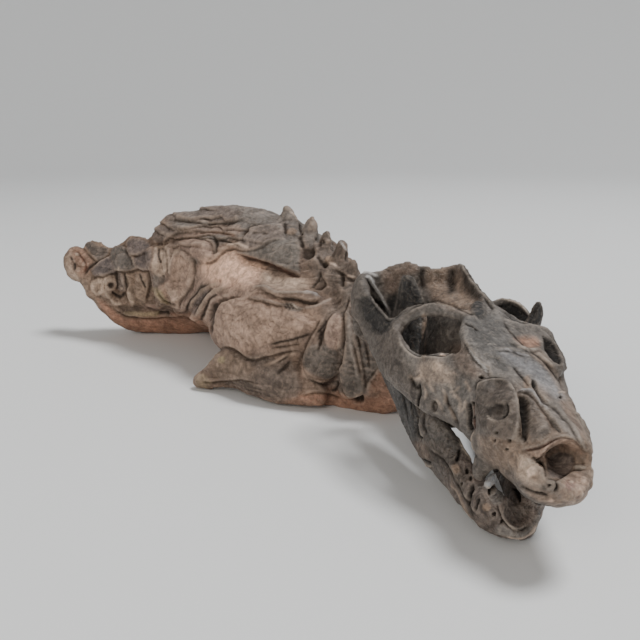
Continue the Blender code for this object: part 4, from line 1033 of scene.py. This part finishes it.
trunkAreas = [
    # name, height in mm, border in pixels, shade, amount, darkening by dirt and painted shade, outline in
    # pixels of the photograph
    ("tail lump", 0.3, 3, orangeBrown, 0.55, 0,
     [(70, 250), (80, 245), (92, 258), (90, 274), (78, 278), (68, 266)]),
    ("pale side of the lump", 0.1, 3, cream, 0.6, 0,
     [(66, 256), (72, 252), (74, 266), (82, 282), (72, 278), (66, 268)]),
    ("grey flake", 0.3, 1.2, darkGrey, 0.7, 0,
     [(84, 244), (92, 242), (99, 246), (106, 246), (109, 251), (104, 256), (98, 260), (92, 254)]),
    ("first plate", 0.3, 1.5, purpleGrey, 0.85, 0,
     [(91, 270), (97, 262), (104, 258), (110, 256), (113, 263), (117, 270), (114, 274), (104, 275),
      (95, 276)]),
    ("second plate", 0.4, 1.2, ashGrey, 0.8, 0,
     [(110, 254), (113, 248), (120, 246), (126, 248), (130, 254), (135, 260), (137, 268), (126, 271),
      (117, 270)]),
    ("third plate", 0.4, 1.5, purpleGrey, 0.75, 0,
     [(127, 248), (128, 242), (135, 239), (144, 242), (150, 246), (147, 251), (138, 255), (130, 254)]),
    ("fourth plate", 0.4, 1.5, purpleGrey, 0.7, 0,
     [(135, 258), (140, 254), (151, 250), (152, 258), (149, 270), (139, 268)]),
    ("lower knob", 0.5, 1.2, cream, 0.9, 0,
     [(92, 282), (97, 278), (103, 282), (105, 290), (100, 296), (94, 293), (91, 287)]),
    ("knob's middle", -0.4, 1.5, tan, 0.7, 0.2, [(96, 285), (100, 284), (101, 290), (97, 292)]),
    ("ring knob", 0.5, 1.2, cream, 0.9, 0,
     [(103, 277), (110, 275), (116, 277), (118, 284), (115, 290), (107, 290), (103, 284)]),
    # painted shade in the knob's hole
    ("ring knob's hole", -1.3, 1.2, darkBrown, 0.9, 0.8,
     [(106, 286), (109, 283), (114, 283), (115, 287), (110, 289)]),
    ("grey pillar", 0.3, 1.3, taupe, 0.8, 0,
     [(117, 272), (122, 271), (124, 280), (125, 290), (119, 290), (116, 282)]),
    ("brown block", 0.3, 2, tan, 0.8, 0,
     [(127, 274), (140, 271), (147, 276), (149, 286), (146, 298), (143, 304), (131, 302), (128, 290)]),
    ("cream strip", 0.2, 1.5, cream, 0.85, 0, [(127, 292), (131, 292), (135, 304), (131, 306)]),
    ("green-grey hollow", -0.3, 3, greenGrey, 0.7, 0,
     [(150, 276), (160, 272), (164, 282), (156, 290), (151, 286)]),
    ("pale column", 0.3, 2, cream, 0.75, 0,
     [(155, 246), (164, 244), (168, 256), (168, 270), (160, 276), (152, 270), (154, 256)]),
    ("round flank bone", 0.4, 2, roseTan, 0.8, 0,
     [(173, 258), (180, 254), (189, 258), (194, 268), (191, 282), (186, 292), (180, 300), (172, 303),
      (160, 294), (158, 286), (170, 280)]),
    ("yellow patch", 0.1, 2, yellowGreen, 0.95, 0,
     [(152, 288), (160, 289), (166, 298), (170, 304), (162, 302)]),
    ("cream patch", 0.1, 3, paleCream, 0.5, 0, [(170, 290), (178, 288), (180, 298), (174, 303)]),
    ("purple between ribs", -0.3, 2, purpleGrey, 0.7, 0,
     [(189, 310), (194, 298), (204, 288), (208, 292), (199, 304), (194, 314)]),
    ("dark seam", -0.4, 2, darkBrown, 0.4, 0.1,
     [(118, 304), (140, 307), (165, 311), (190, 314), (180, 318), (150, 315), (124, 312)]),
    ("yellow line", 0.1, 1.5, yellowGreen, 0.6, 0,
     [(124, 312), (140, 313), (158, 313), (157, 317), (140, 317), (126, 316)]),
    ("dark spot", -0.6, 1.5, nearBlack, 0.7, 0.6, [(158, 313), (168, 313), (169, 317), (159, 317)]),
    ("orange glow", 0, 3, amber, 0.9, 0, [(172, 314), (190, 315), (206, 320), (196, 324), (176, 321)]),
    ("smooth base", 0, 3, amber, 0.95, 0,
     [(98, 300), (110, 306), (125, 320), (160, 322), (208, 324), (208, 331), (140, 331), (112, 320)]),
    ("top slab", 0.3, 2, taupe, 0.8, 0,
     [(167, 214), (192, 214), (200, 211), (210, 206), (228, 207), (243, 213), (236, 219), (222, 222),
      (206, 223), (190, 219), (168, 219)]),
    ("left slab", 0.3, 2, taupe, 0.75, 0,
     [(154, 230), (162, 226), (180, 228), (176, 234), (166, 241), (154, 242)]),
    ("layered slab", 0.1, 2, pinkTan, 0.6, 0,
     [(182, 230), (205, 226), (240, 226), (240, 236), (210, 236), (180, 236)]),
    ("plate of the back", 0.4, 2, taupe, 0.8, 0,
     [(244, 238), (250, 229), (262, 226), (274, 226), (282, 230), (285, 240), (272, 241), (262, 246),
      (250, 246)]),
    ("pink lens", 0.2, 3, pinkTan, 0.75, 0,
     [(180, 242), (196, 236), (208, 242), (213, 250), (206, 261), (192, 261), (182, 254)]),
    ("grey under the lens", -0.3, 2, greenGrey, 0.7, 0.2,
     [(190, 258), (204, 261), (212, 257), (208, 264), (196, 264)]),
    ("cream middle", 0.2, 7, warmCream, 0.95, 0,
     [(202, 262), (216, 257), (232, 250), (250, 260), (262, 266), (258, 278), (244, 287), (226, 285),
      (208, 280)]),
    ("pale flank", 0.1, 8, roseTan, 0.7, 0,
     [(222, 306), (240, 300), (270, 302), (312, 310), (318, 326), (300, 336), (262, 348), (240, 350),
      (218, 336), (216, 316)]),
    ("shoulder blade", 0.5, 1.8, greenGrey, 0.9, 0,
     [(238, 252), (250, 250), (262, 246), (270, 242), (286, 240), (298, 241), (301, 251), (300, 264),
      (300, 274), (288, 270), (275, 265), (262, 260), (250, 256)]),
    ("wavy grey patch", -0.1, 1.5, greyBrown, 0.85, 0,
     [(283, 304), (291, 303), (297, 308), (302, 308), (298, 313), (289, 312)]),
    ("limb", 0.2, 3, greyBrown, 0.5, 0,
     [(214, 354), (230, 347), (248, 356), (290, 360), (300, 382), (296, 398), (266, 398), (222, 380)]),
    ("pale top of the limb", 0.1, 5, tan, 0.6, 0,
     [(214, 358), (228, 350), (244, 360), (256, 372), (240, 378), (214, 376)]),
    ("limb's tip", 0.1, 2, yellowGreen, 0.35, 0,
     [(196, 378), (204, 374), (212, 380), (208, 387), (198, 387)]),
    ("shade under the limb", -0.2, 3, darkBrown, 0.4, 0.15,
     [(214, 382), (236, 380), (256, 386), (276, 398), (262, 400), (238, 390)]),
    ("grey pad", 0.4, 2, greyBrown, 0.85, 0,
     [(304, 357), (309, 348), (318, 345), (334, 346), (338, 353), (336, 371), (326, 376), (312, 373),
      (305, 366)]),
    ("pink lens of the neck", 0.4, 2, pinkTan, 0.85, 0,
     [(326, 336), (329, 322), (334, 315), (341, 315), (343, 324), (343, 342), (338, 349), (328, 345)]),
    ("long neck bone", 0.5, 1.8, greyBrown, 0.85, 0,
     [(346, 314), (352, 301), (357, 302), (355, 322), (357, 342), (361, 360), (365, 382), (364, 393),
      (350, 396), (342, 384), (341, 368), (345, 346)]),
    ("second neck bone", 0.4, 2, greyBrown, 0.75, 0,
     [(359, 330), (370, 342), (380, 355), (385, 366), (378, 376), (368, 380), (362, 366), (359, 350)]),
    ("orange stain", 0, 3.5, orangeBrown, 0.7, 0,
     [(372, 380), (381, 369), (388, 376), (386, 388), (376, 394), (369, 392)]),
    ("smooth stone under the neck", 0.1, 3, amber, 0.7, 0,
     [(298, 398), (312, 392), (340, 394), (362, 400), (380, 392), (392, 386), (397, 404), (380, 412),
      (350, 410), (316, 404)]),
    # painted shade in the gap
    ("black gap", -1.5, 1.5, nearBlack, 0.95, 1,
     [(348, 398), (356, 398), (363, 396), (364, 402), (357, 403)]),
    # painted shade in the backbone's hollow
    ("hollow of the backbone", -1.0, 2, darkBrown, 0.85, 0.7,
     [(303, 248), (312, 247), (314, 255), (310, 259), (304, 256)]),
    ("muscle mark", 0.1, 5, cream, 0.8, 0,
     [(262, 272), (290, 276), (306, 280), (308, 288), (290, 290), (264, 284)]),
]
trunkLedges = [
    # name, height in mm, reach in pixels, points; the high side is on the right hand
    ("flake's bright edge", 0.4, 4, [(97, 261), (91, 255), (86, 250), (79, 246)]),
    ("first plate's edge", 0.35, 4, [(90, 270), (97, 262), (104, 258), (111, 255)]),
    ("second plate's edge", 0.4, 4, [(137, 268), (134, 260), (129, 253), (126, 248)]),
    ("third plate's edge", 0.4, 4, [(148, 251), (138, 255), (130, 254)]),
    ("plates' lower edge", 0.5, 5,
     [(152, 270), (146, 270), (139, 268), (133, 271), (117, 271), (104, 276), (92, 276)]),
    ("block's left edge", 0.4, 4, [(129, 303), (127, 291), (130, 283), (126, 274)]),
    ("block's right edge", 0.4, 4, [(147, 272), (149, 282), (148, 292), (145, 304)]),
    ("column's edge", 0.4, 4, [(169, 276), (168, 264), (167, 254), (164, 245)]),
    ("flank bone's upper edge", 0.5, 4,
     [(171, 276), (170, 265), (173, 255), (181, 252), (190, 257), (194, 267), (194, 277)]),
    ("flank bone's lower edge", 0.45, 4, [(194, 277), (189, 290), (181, 300), (177, 312)]),
    ("cream step", 0.4, 4, [(153, 286), (160, 296), (167, 303), (178, 308)]),
    ("base's edge", 0.4, 5, [(206, 330), (190, 318), (170, 318), (150, 319), (128, 316), (112, 306)]),
    ("top slab's lower edge", 0.4, 4, [(238, 218), (228, 222), (208, 224), (190, 220), (166, 220)]),
    ("middle slab's lower edge", 0.35, 4, [(240, 237), (225, 234), (205, 231), (188, 229), (163, 226)]),
    ("left slab's lower edge", 0.35, 4, [(196, 232), (182, 231), (173, 235), (164, 242)]),
    ("lens step", 0.35, 4, [(214, 258), (213, 248), (206, 240), (195, 236)]),
    ("pale torn edge", 0.5, 4, [(236, 248), (228, 249), (220, 254), (213, 261), (203, 264)]),
    ("back plate's left edge", 0.4, 4, [(244, 240), (248, 231), (254, 227), (264, 226)]),
    ("back plate's lower edge", 0.4, 4,
     [(286, 240), (271, 242), (262, 247), (250, 250), (238, 249), (224, 246)]),
    ("shoulder blade's lower edge", 0.9, 5,
     [(302, 276), (290, 271), (276, 266), (262, 261), (250, 257), (237, 252)]),
    ("collar bone's underside", 0.6, 5,
     [(323, 300), (310, 302), (296, 299), (282, 297), (270, 292), (258, 288)]),
    ("second rod's underside", 0.4, 4, [(284, 306), (272, 303), (260, 300), (246, 298)]),
    ("shoulder's left edge", 0.6, 5,
     [(213, 334), (214, 322), (217, 311), (222, 304), (231, 300), (244, 298)]),
    ("shoulder over the limb", 0.6, 4,
     [(302, 350), (286, 352), (270, 355), (256, 359), (248, 357), (240, 350), (230, 346), (219, 349)]),
    ("limb's lower edge", 0.35, 5, [(256, 383), (238, 379), (216, 381), (200, 380)]),
    ("pad's lower edge", 0.5, 4, [(338, 373), (330, 377), (318, 378), (309, 374), (303, 366)]),
    ("pad's left edge", 0.5, 4, [(303, 364), (306, 352), (311, 340), (317, 328), (321, 318)]),
    ("long neck bone's left edge", 0.6, 4,
     [(341, 368), (345, 350), (345, 335), (345, 318), (347, 306), (353, 297), (360, 286)]),
    ("long neck bone's right edge", 0.5, 4, [(356, 304), (355, 324), (357, 344), (362, 364), (366, 386)]),
    ("long neck bone's foot", 0.7, 4, [(365, 395), (356, 399), (348, 397), (342, 388)]),
    ("lens of the neck, right", 0.4, 3, [(341, 314), (344, 326), (343, 342), (340, 350)]),
    ("lens of the neck, left", 0.4, 3, [(325, 345), (326, 330), (330, 320), (336, 314)]),
    ("leaf of the neck", 0.4, 4, [(312, 290), (322, 291), (327, 284), (321, 274)]),
    ("neck plate under the backbone", 0.3, 4, [(362, 283), (350, 278), (340, 272), (330, 270)]),
    ("stain's edge", 0.3, 4, [(366, 392), (369, 381), (378, 370), (386, 364)]),
    ("stone's edge", 0.3, 4, [(345, 398), (330, 392), (316, 391), (300, 396)]),
]
trunkLines = [
    # name, height in mm, width in pixels, shade, points
    ("seam of the lump", -0.5, 1.4, darkBrown, [(85, 276), (88, 269), (92, 264), (98, 260)]),
    ("lump furrow", -0.3, 1.4, redBrown, [(76, 252), (82, 258), (86, 266), (84, 274)]),
    ("lump furrow", -0.3, 1.2, darkBrown, [(70, 256), (74, 264), (76, 272)]),
    ("cord from the knobs", 0.4, 1.6, cream, [(104, 291), (110, 298), (116, 303), (122, 303)]),
    ("pillar's edge", -0.4, 1.2, darkBrown, [(116, 272), (117, 281), (118, 290)]),
    ("pillar's edge", -0.4, 1.2, darkBrown, [(125, 272), (126, 282), (127, 290)]),
    ("block's crack", -0.25, 1, darkBrown, [(140, 272), (143, 281), (147, 288)]),
    ("seam left of the block", -0.6, 1.6, darkBrown, [(125, 292), (120, 297), (112, 292)]),
    ("column's crack", -0.25, 1, darkBrown, [(160, 248), (159, 256), (161, 264)]),
    ("bright bent ridge", 0.35, 1.3, paleCream,
     [(170, 276), (169, 266), (171, 258), (175, 252), (183, 251)]),
    ("rib", 0.4, 1.8, tan, [(190, 313), (192, 304), (197, 296), (204, 290), (214, 286), (222, 285)]),
    ("rib", 0.4, 1.8, tan, [(197, 318), (202, 306), (208, 297), (216, 291), (228, 288)]),
    ("rib", 0.4, 1.8, pinkTan, [(204, 322), (209, 312), (213, 303), (222, 297), (234, 294)]),
    ("gap of the ribs", -0.5, 1.3, darkBrown, [(187, 313), (188, 304), (194, 295), (200, 288), (210, 284)]),
    ("gap of the ribs", -0.5, 1.3, darkBrown, [(194, 317), (198, 305), (204, 296), (212, 290)]),
    ("gap of the ribs", -0.5, 1.3, darkBrown, [(201, 321), (206, 310), (211, 300), (219, 294)]),
    ("gap before the shoulder", -0.7, 1.8, darkBrown, [(211, 334), (212, 322), (213, 312), (218, 303)]),
    ("pink flake", 0.25, 1.4, pinkBrown, [(143, 309), (149, 306), (158, 309)]),
    ("slab layer", -0.25, 1.1, orangeBrown, [(195, 234), (212, 233), (226, 235), (238, 238)]),
    ("slab layer", -0.25, 1.1, darkBrown, [(196, 222), (207, 226), (220, 223)]),
    ("slab layer", -0.25, 1.1, darkBrown, [(200, 238), (212, 240), (228, 243), (244, 248)]),
    ("bright torn line", 0.25, 1.1, paleCream, [(226, 246), (240, 245), (250, 248)]),
    ("dark notch", -0.7, 1.8, nearBlack, [(213, 240), (216, 247), (214, 256)]),
    ("notch of the back plate", -0.7, 1.8, nearBlack, [(244, 236), (247, 232), (250, 229)]),
    ("shadow of the blade", -0.5, 1.4, redBrown,
     [(240, 254), (254, 259), (270, 265), (286, 271), (300, 277)]),
    ("collar bone", 0.4, 0.9, boneGrey,
     [(252, 288), (262, 286), (276, 291), (292, 293), (306, 294), (316, 297), (322, 300)]),
    ("collar bone's shine", 0.3, 1.4, highlightGrey, [(304, 293), (311, 294), (318, 298)]),
    ("collar bone's shadow", -0.5, 1.2, nearBlack, [(280, 298), (294, 300), (308, 304), (322, 303)]),
    ("wavy bright line", 0.15, 0.6, paleBone, [(289, 303), (293, 305), (296, 309), (303, 309)]),
    ("hatching", -0.2, 0.7, darkBrown, [(284, 304), (287, 310)]),
    ("hatching", -0.2, 0.7, darkBrown, [(287, 304), (290, 311)]),
    ("hatching", -0.2, 0.7, darkBrown, [(290, 304), (293, 311)]),
    ("folded rim of the pad", 0.3, 1.3, roseTan, [(302, 366), (307, 376), (320, 381), (332, 378)]),
    ("folded rim of the pad", -0.3, 1, darkBrown, [(304, 372), (312, 380), (324, 384), (334, 380)]),
    ("jagged crack left of the lens", -0.6, 1, nearBlack,
     [(319, 352), (321, 343), (320, 337), (324, 331), (327, 324)]),
    ("spine's bright edge", 0.2, 0.6, paleBone, [(289, 211), (293, 215), (297, 221)]),
    ("spine's bright edge", 0.2, 0.6, boneGrey, [(311, 221), (314, 227), (316, 233)]),
    ("spine's bright edge", 0.2, 0.6, boneGrey, [(326, 230), (330, 236), (332, 242)]),
    ("spine's bright edge", 0.2, 0.7, whitish, [(341, 241), (344, 246), (347, 252)]),
    # painted shade in the gaps between the spines
    ("between the spines", -0.7, 1.4, nearBlack, [(299, 222), (301, 230), (303, 236)]),
    ("between the spines", -0.7, 1.3, nearBlack, [(317, 237), (318, 242), (319, 248)]),
    ("between the spines", -0.7, 1.3, nearBlack, [(333, 243), (333, 248), (332, 252)]),
    ("between the spines", -0.6, 1.3, nearBlack, [(348, 252), (347, 257), (345, 262)]),
    ("thin rod", 0.3, 0.9, taupe, [(250, 297), (266, 300), (280, 304), (288, 306)]),
    ("thin rod", 0.2, 1.2, taupe, [(302, 308), (312, 307), (324, 303), (334, 298)]),
    ("crack of the shoulder", -0.4, 1.2, darkBrown, [(270, 344), (284, 342), (298, 339), (312, 333)]),
    ("faint crack", -0.25, 1, brown, [(272, 348), (288, 347), (302, 344)]),
    ("crease of the limb", -0.4, 1.8, darkBrown, [(292, 362), (284, 369), (277, 374)]),
    ("crease of the limb", -0.3, 1.4, darkBrown, [(292, 352), (286, 358), (278, 362)]),
    ("fold of the limb", 0.3, 1.6, tan, [(264, 366), (274, 362), (286, 356), (298, 354)]),
    ("black crack of the neck", -0.8, 1.4, nearBlack, [(321, 330), (322, 338), (320, 347)]),
    ("crack of the neck", -0.4, 1.1, nearBlack, [(327, 320), (323, 327), (317, 333)]),
    ("leaf's crack", -0.5, 1.2, darkBrown, [(321, 272), (318, 280), (312, 289)]),
    ("long crack", -0.8, 1.5, nearBlack, [(344, 316), (344, 334), (344, 350), (342, 362), (340, 368)]),
    ("deep crack at the skull", -1.2, 1.8, nearBlack, [(345, 312), (348, 304), (353, 296), (360, 284)]),
    ("ridge of the neck bone", 0.35, 2, boneGrey,
     [(350, 312), (350, 330), (352, 348), (357, 364), (360, 380)]),
    ("groove of the neck bone", -0.35, 1.6, darkBrown, [(354, 346), (358, 360), (362, 374)]),
    ("groove of the second bone", -0.5, 1.5, nearBlack, [(357, 330), (358, 340), (360, 350)]),
    ("strip of the second bone", -0.3, 1.4, darkBrown, [(364, 340), (368, 354), (370, 368)]),
    ("pad's pale rim", 0.25, 1.2, pinkTan, [(303, 367), (309, 375), (320, 379), (332, 377)]),
    ("pink seam", -0.4, 1.6, pinkBrown, [(322, 386), (330, 380), (337, 376)]),
    ("dark seam", -0.5, 1.5, nearBlack, [(331, 390), (336, 388), (338, 380)]),
    ("foot's pale rim", 0.25, 1, paleBone, [(346, 396), (354, 397), (363, 395)]),
    # painted shade on the vertebrae's sides turned from the light
    ("vertebra's dark side", -0.8, 1.8, nearBlack, [(341, 272), (342, 280), (342, 288)]),
    ("vertebra's dark side", -0.7, 1.8, nearBlack, [(284, 223), (286, 229), (287, 234)]),
    ("vertebra's dark side", -0.7, 1.8, nearBlack, [(300, 236), (302, 242), (302, 247)]),
    ("vertebra's dark side", -0.6, 1.6, darkBrown, [(314, 240), (320, 239), (322, 244)]),
    ("vertebra's dark side", -0.6, 1.8, darkBrown, [(316, 256), (322, 264), (326, 268)]),
    ("white step", 0.2, 1, paleCream, [(346, 276), (354, 277), (361, 276)]),
    ("white step", 0.2, 1.2, paleCream, [(330, 266), (334, 265), (337, 268)]),
]
trunkSpots = [
    # name, height in mm, shade, centre and radii in pixels, darkening, which is painted shade in the pit
    ("pale mark", 0, roseTan, (234, 345), (4, 3.4), 0),
    ("green mark", 0, yellowGreen, (224, 360), (4, 3), 0),
    ("fleck", 0.2, cream, (121, 269), (1.2, 1.2), 0),
    ("fleck", 0.2, cream, (122, 288), (1.2, 1.2), 0),
    ("glow", 0, warmCream, (238, 270), (16, 8), 0),
    # painted shade in the pit
    ("pit", -0.6, darkBrown, (326, 266), (3, 3), 0.5),
    ("lump", 0.5, taupe, (316, 246), (3, 5), 0),
    ("lump", 0.4, tan, (330, 262), (5, 4), 0),
    ("lump", 0.4, tan, (292, 232), (5, 3), 0),
    ("tail fleck", 0.3, roseTan, (73, 262), (2.4, 1.8), 0),
    ("tail fleck", 0.3, roseTan, (79, 270), (2, 2.4), 0),
    ("tail fleck", 0.3, roseTan, (84, 264), (1.6, 2.2), 0),
    ("tail fleck", 0.3, cream, (77, 255), (2, 1.4), 0),
]


def makeTrunk():
    surface = agedSurface("trunk", trunkLook, trunkZones)
    drawn(surface, trunkAreas, trunkLedges, trunkLines, trunkSpots)
    placePiece(surface, "body", "trunk", weatheredMaterial("trunk_stone", trunkLook))


stageLook = {
    "flatReach": 0.9, "wallHeight": 0.7, "sides": 72, "stepDegrees": 6,
    "paper": (0.8, 0.8, 0.79, 1), "paperRoughness": 0.9,
    "aim": (0.01, 0, 0.03),
    "lamps": [
        # name, place, diameter, power in watts, tint
        ("topLight", (0.3, 0.32, 1.3), 0.45, 16, (0.96, 0.98, 1.0)),
        ("frontLight", (0.3, -0.9, 0.5), 0.6, 4, (1.0, 0.95, 0.88)),
    ],
    "sky": (0.9, 0.91, 0.93, 1), "skyStrength": 0.3,
}


def makeStage():
    # a floor that curves up into a low wall all round, in one pale paper
    flat, wall, sides = stageLook["flatReach"], stageLook["wallHeight"], stageLook["sides"]
    turns = [math.radians(t) for t in range(0, 91, stageLook["stepDegrees"])]
    profile = [(flat + wall * math.sin(t), wall - wall * math.cos(t)) for t in turns]
    bm = bmesh.new()
    rings = []
    for far, up in profile:
        around = [2 * math.pi * i / sides for i in range(sides)]
        rings.append([bm.verts.new((far * math.cos(a), far * math.sin(a), up)) for a in around])
    bm.faces.new(rings[0])
    for first, second in zip(rings, rings[1:]):
        for i in range(sides):
            k = (i + 1) % sides
            bm.faces.new((first[i], second[i], second[k], first[k]))
    bmesh.ops.recalc_face_normals(bm, faces=bm.faces)
    paperMesh = bpy.data.meshes.new("floor")
    bm.to_mesh(paperMesh)
    bm.free()
    paperMesh.polygons.foreach_set("use_smooth", [True] * len(paperMesh.polygons))
    ground = linked("floor", paperMesh)
    paper = bpy.data.materials.new("floor_paper")
    paper.use_nodes = True
    shader = paper.node_tree.nodes["Principled BSDF"]
    shader.inputs["Base Color"].default_value = stageLook["paper"]
    shader.inputs["Roughness"].default_value = stageLook["paperRoughness"]
    ground.data.materials.append(paper)


def makeLamp(name, place, size, power, tint):
    lamp = bpy.data.lights.new(name, "AREA")
    lamp.shape = "DISK"
    lamp.size = size
    lamp.energy = power
    lamp.color = tint
    holder = bpy.data.objects.new(name, lamp)
    bpy.context.scene.collection.objects.link(holder)
    holder.location = place
    holder.rotation_mode = "QUATERNION"
    holder.rotation_quaternion = (Vector(stageLook["aim"]) - Vector(place)).to_track_quat("-Z", "Y")


def makeLight():
    for lamp in stageLook["lamps"]:
        makeLamp(*lamp)
    world = bpy.data.worlds.new("studio")
    bpy.context.scene.world = world
    world.use_nodes = True
    sky = world.node_tree.nodes["Background"]
    sky.inputs["Color"].default_value = stageLook["sky"]
    sky.inputs["Strength"].default_value = stageLook["skyStrength"]


def makeCamera():
    camera = bpy.data.cameras.new("camera")
    camera.sensor_width = sensorWidth
    camera.lens = sensorWidth * focalPixels / photoSide
    camera.clip_start = 0.01
    holder = bpy.data.objects.new("camera", camera)
    bpy.context.scene.collection.objects.link(holder)
    turn = Matrix((viewRight, viewUp, viewBack)).transposed().to_4x4()
    holder.matrix_world = Matrix.Translation(Vector(viewPlace)) @ turn
    bpy.context.scene.camera = holder


makeCranium()
makeLowerJaw()
makeTrunk()
makeStage()
makeLight()
makeCamera()
print("stage, light and camera are set")
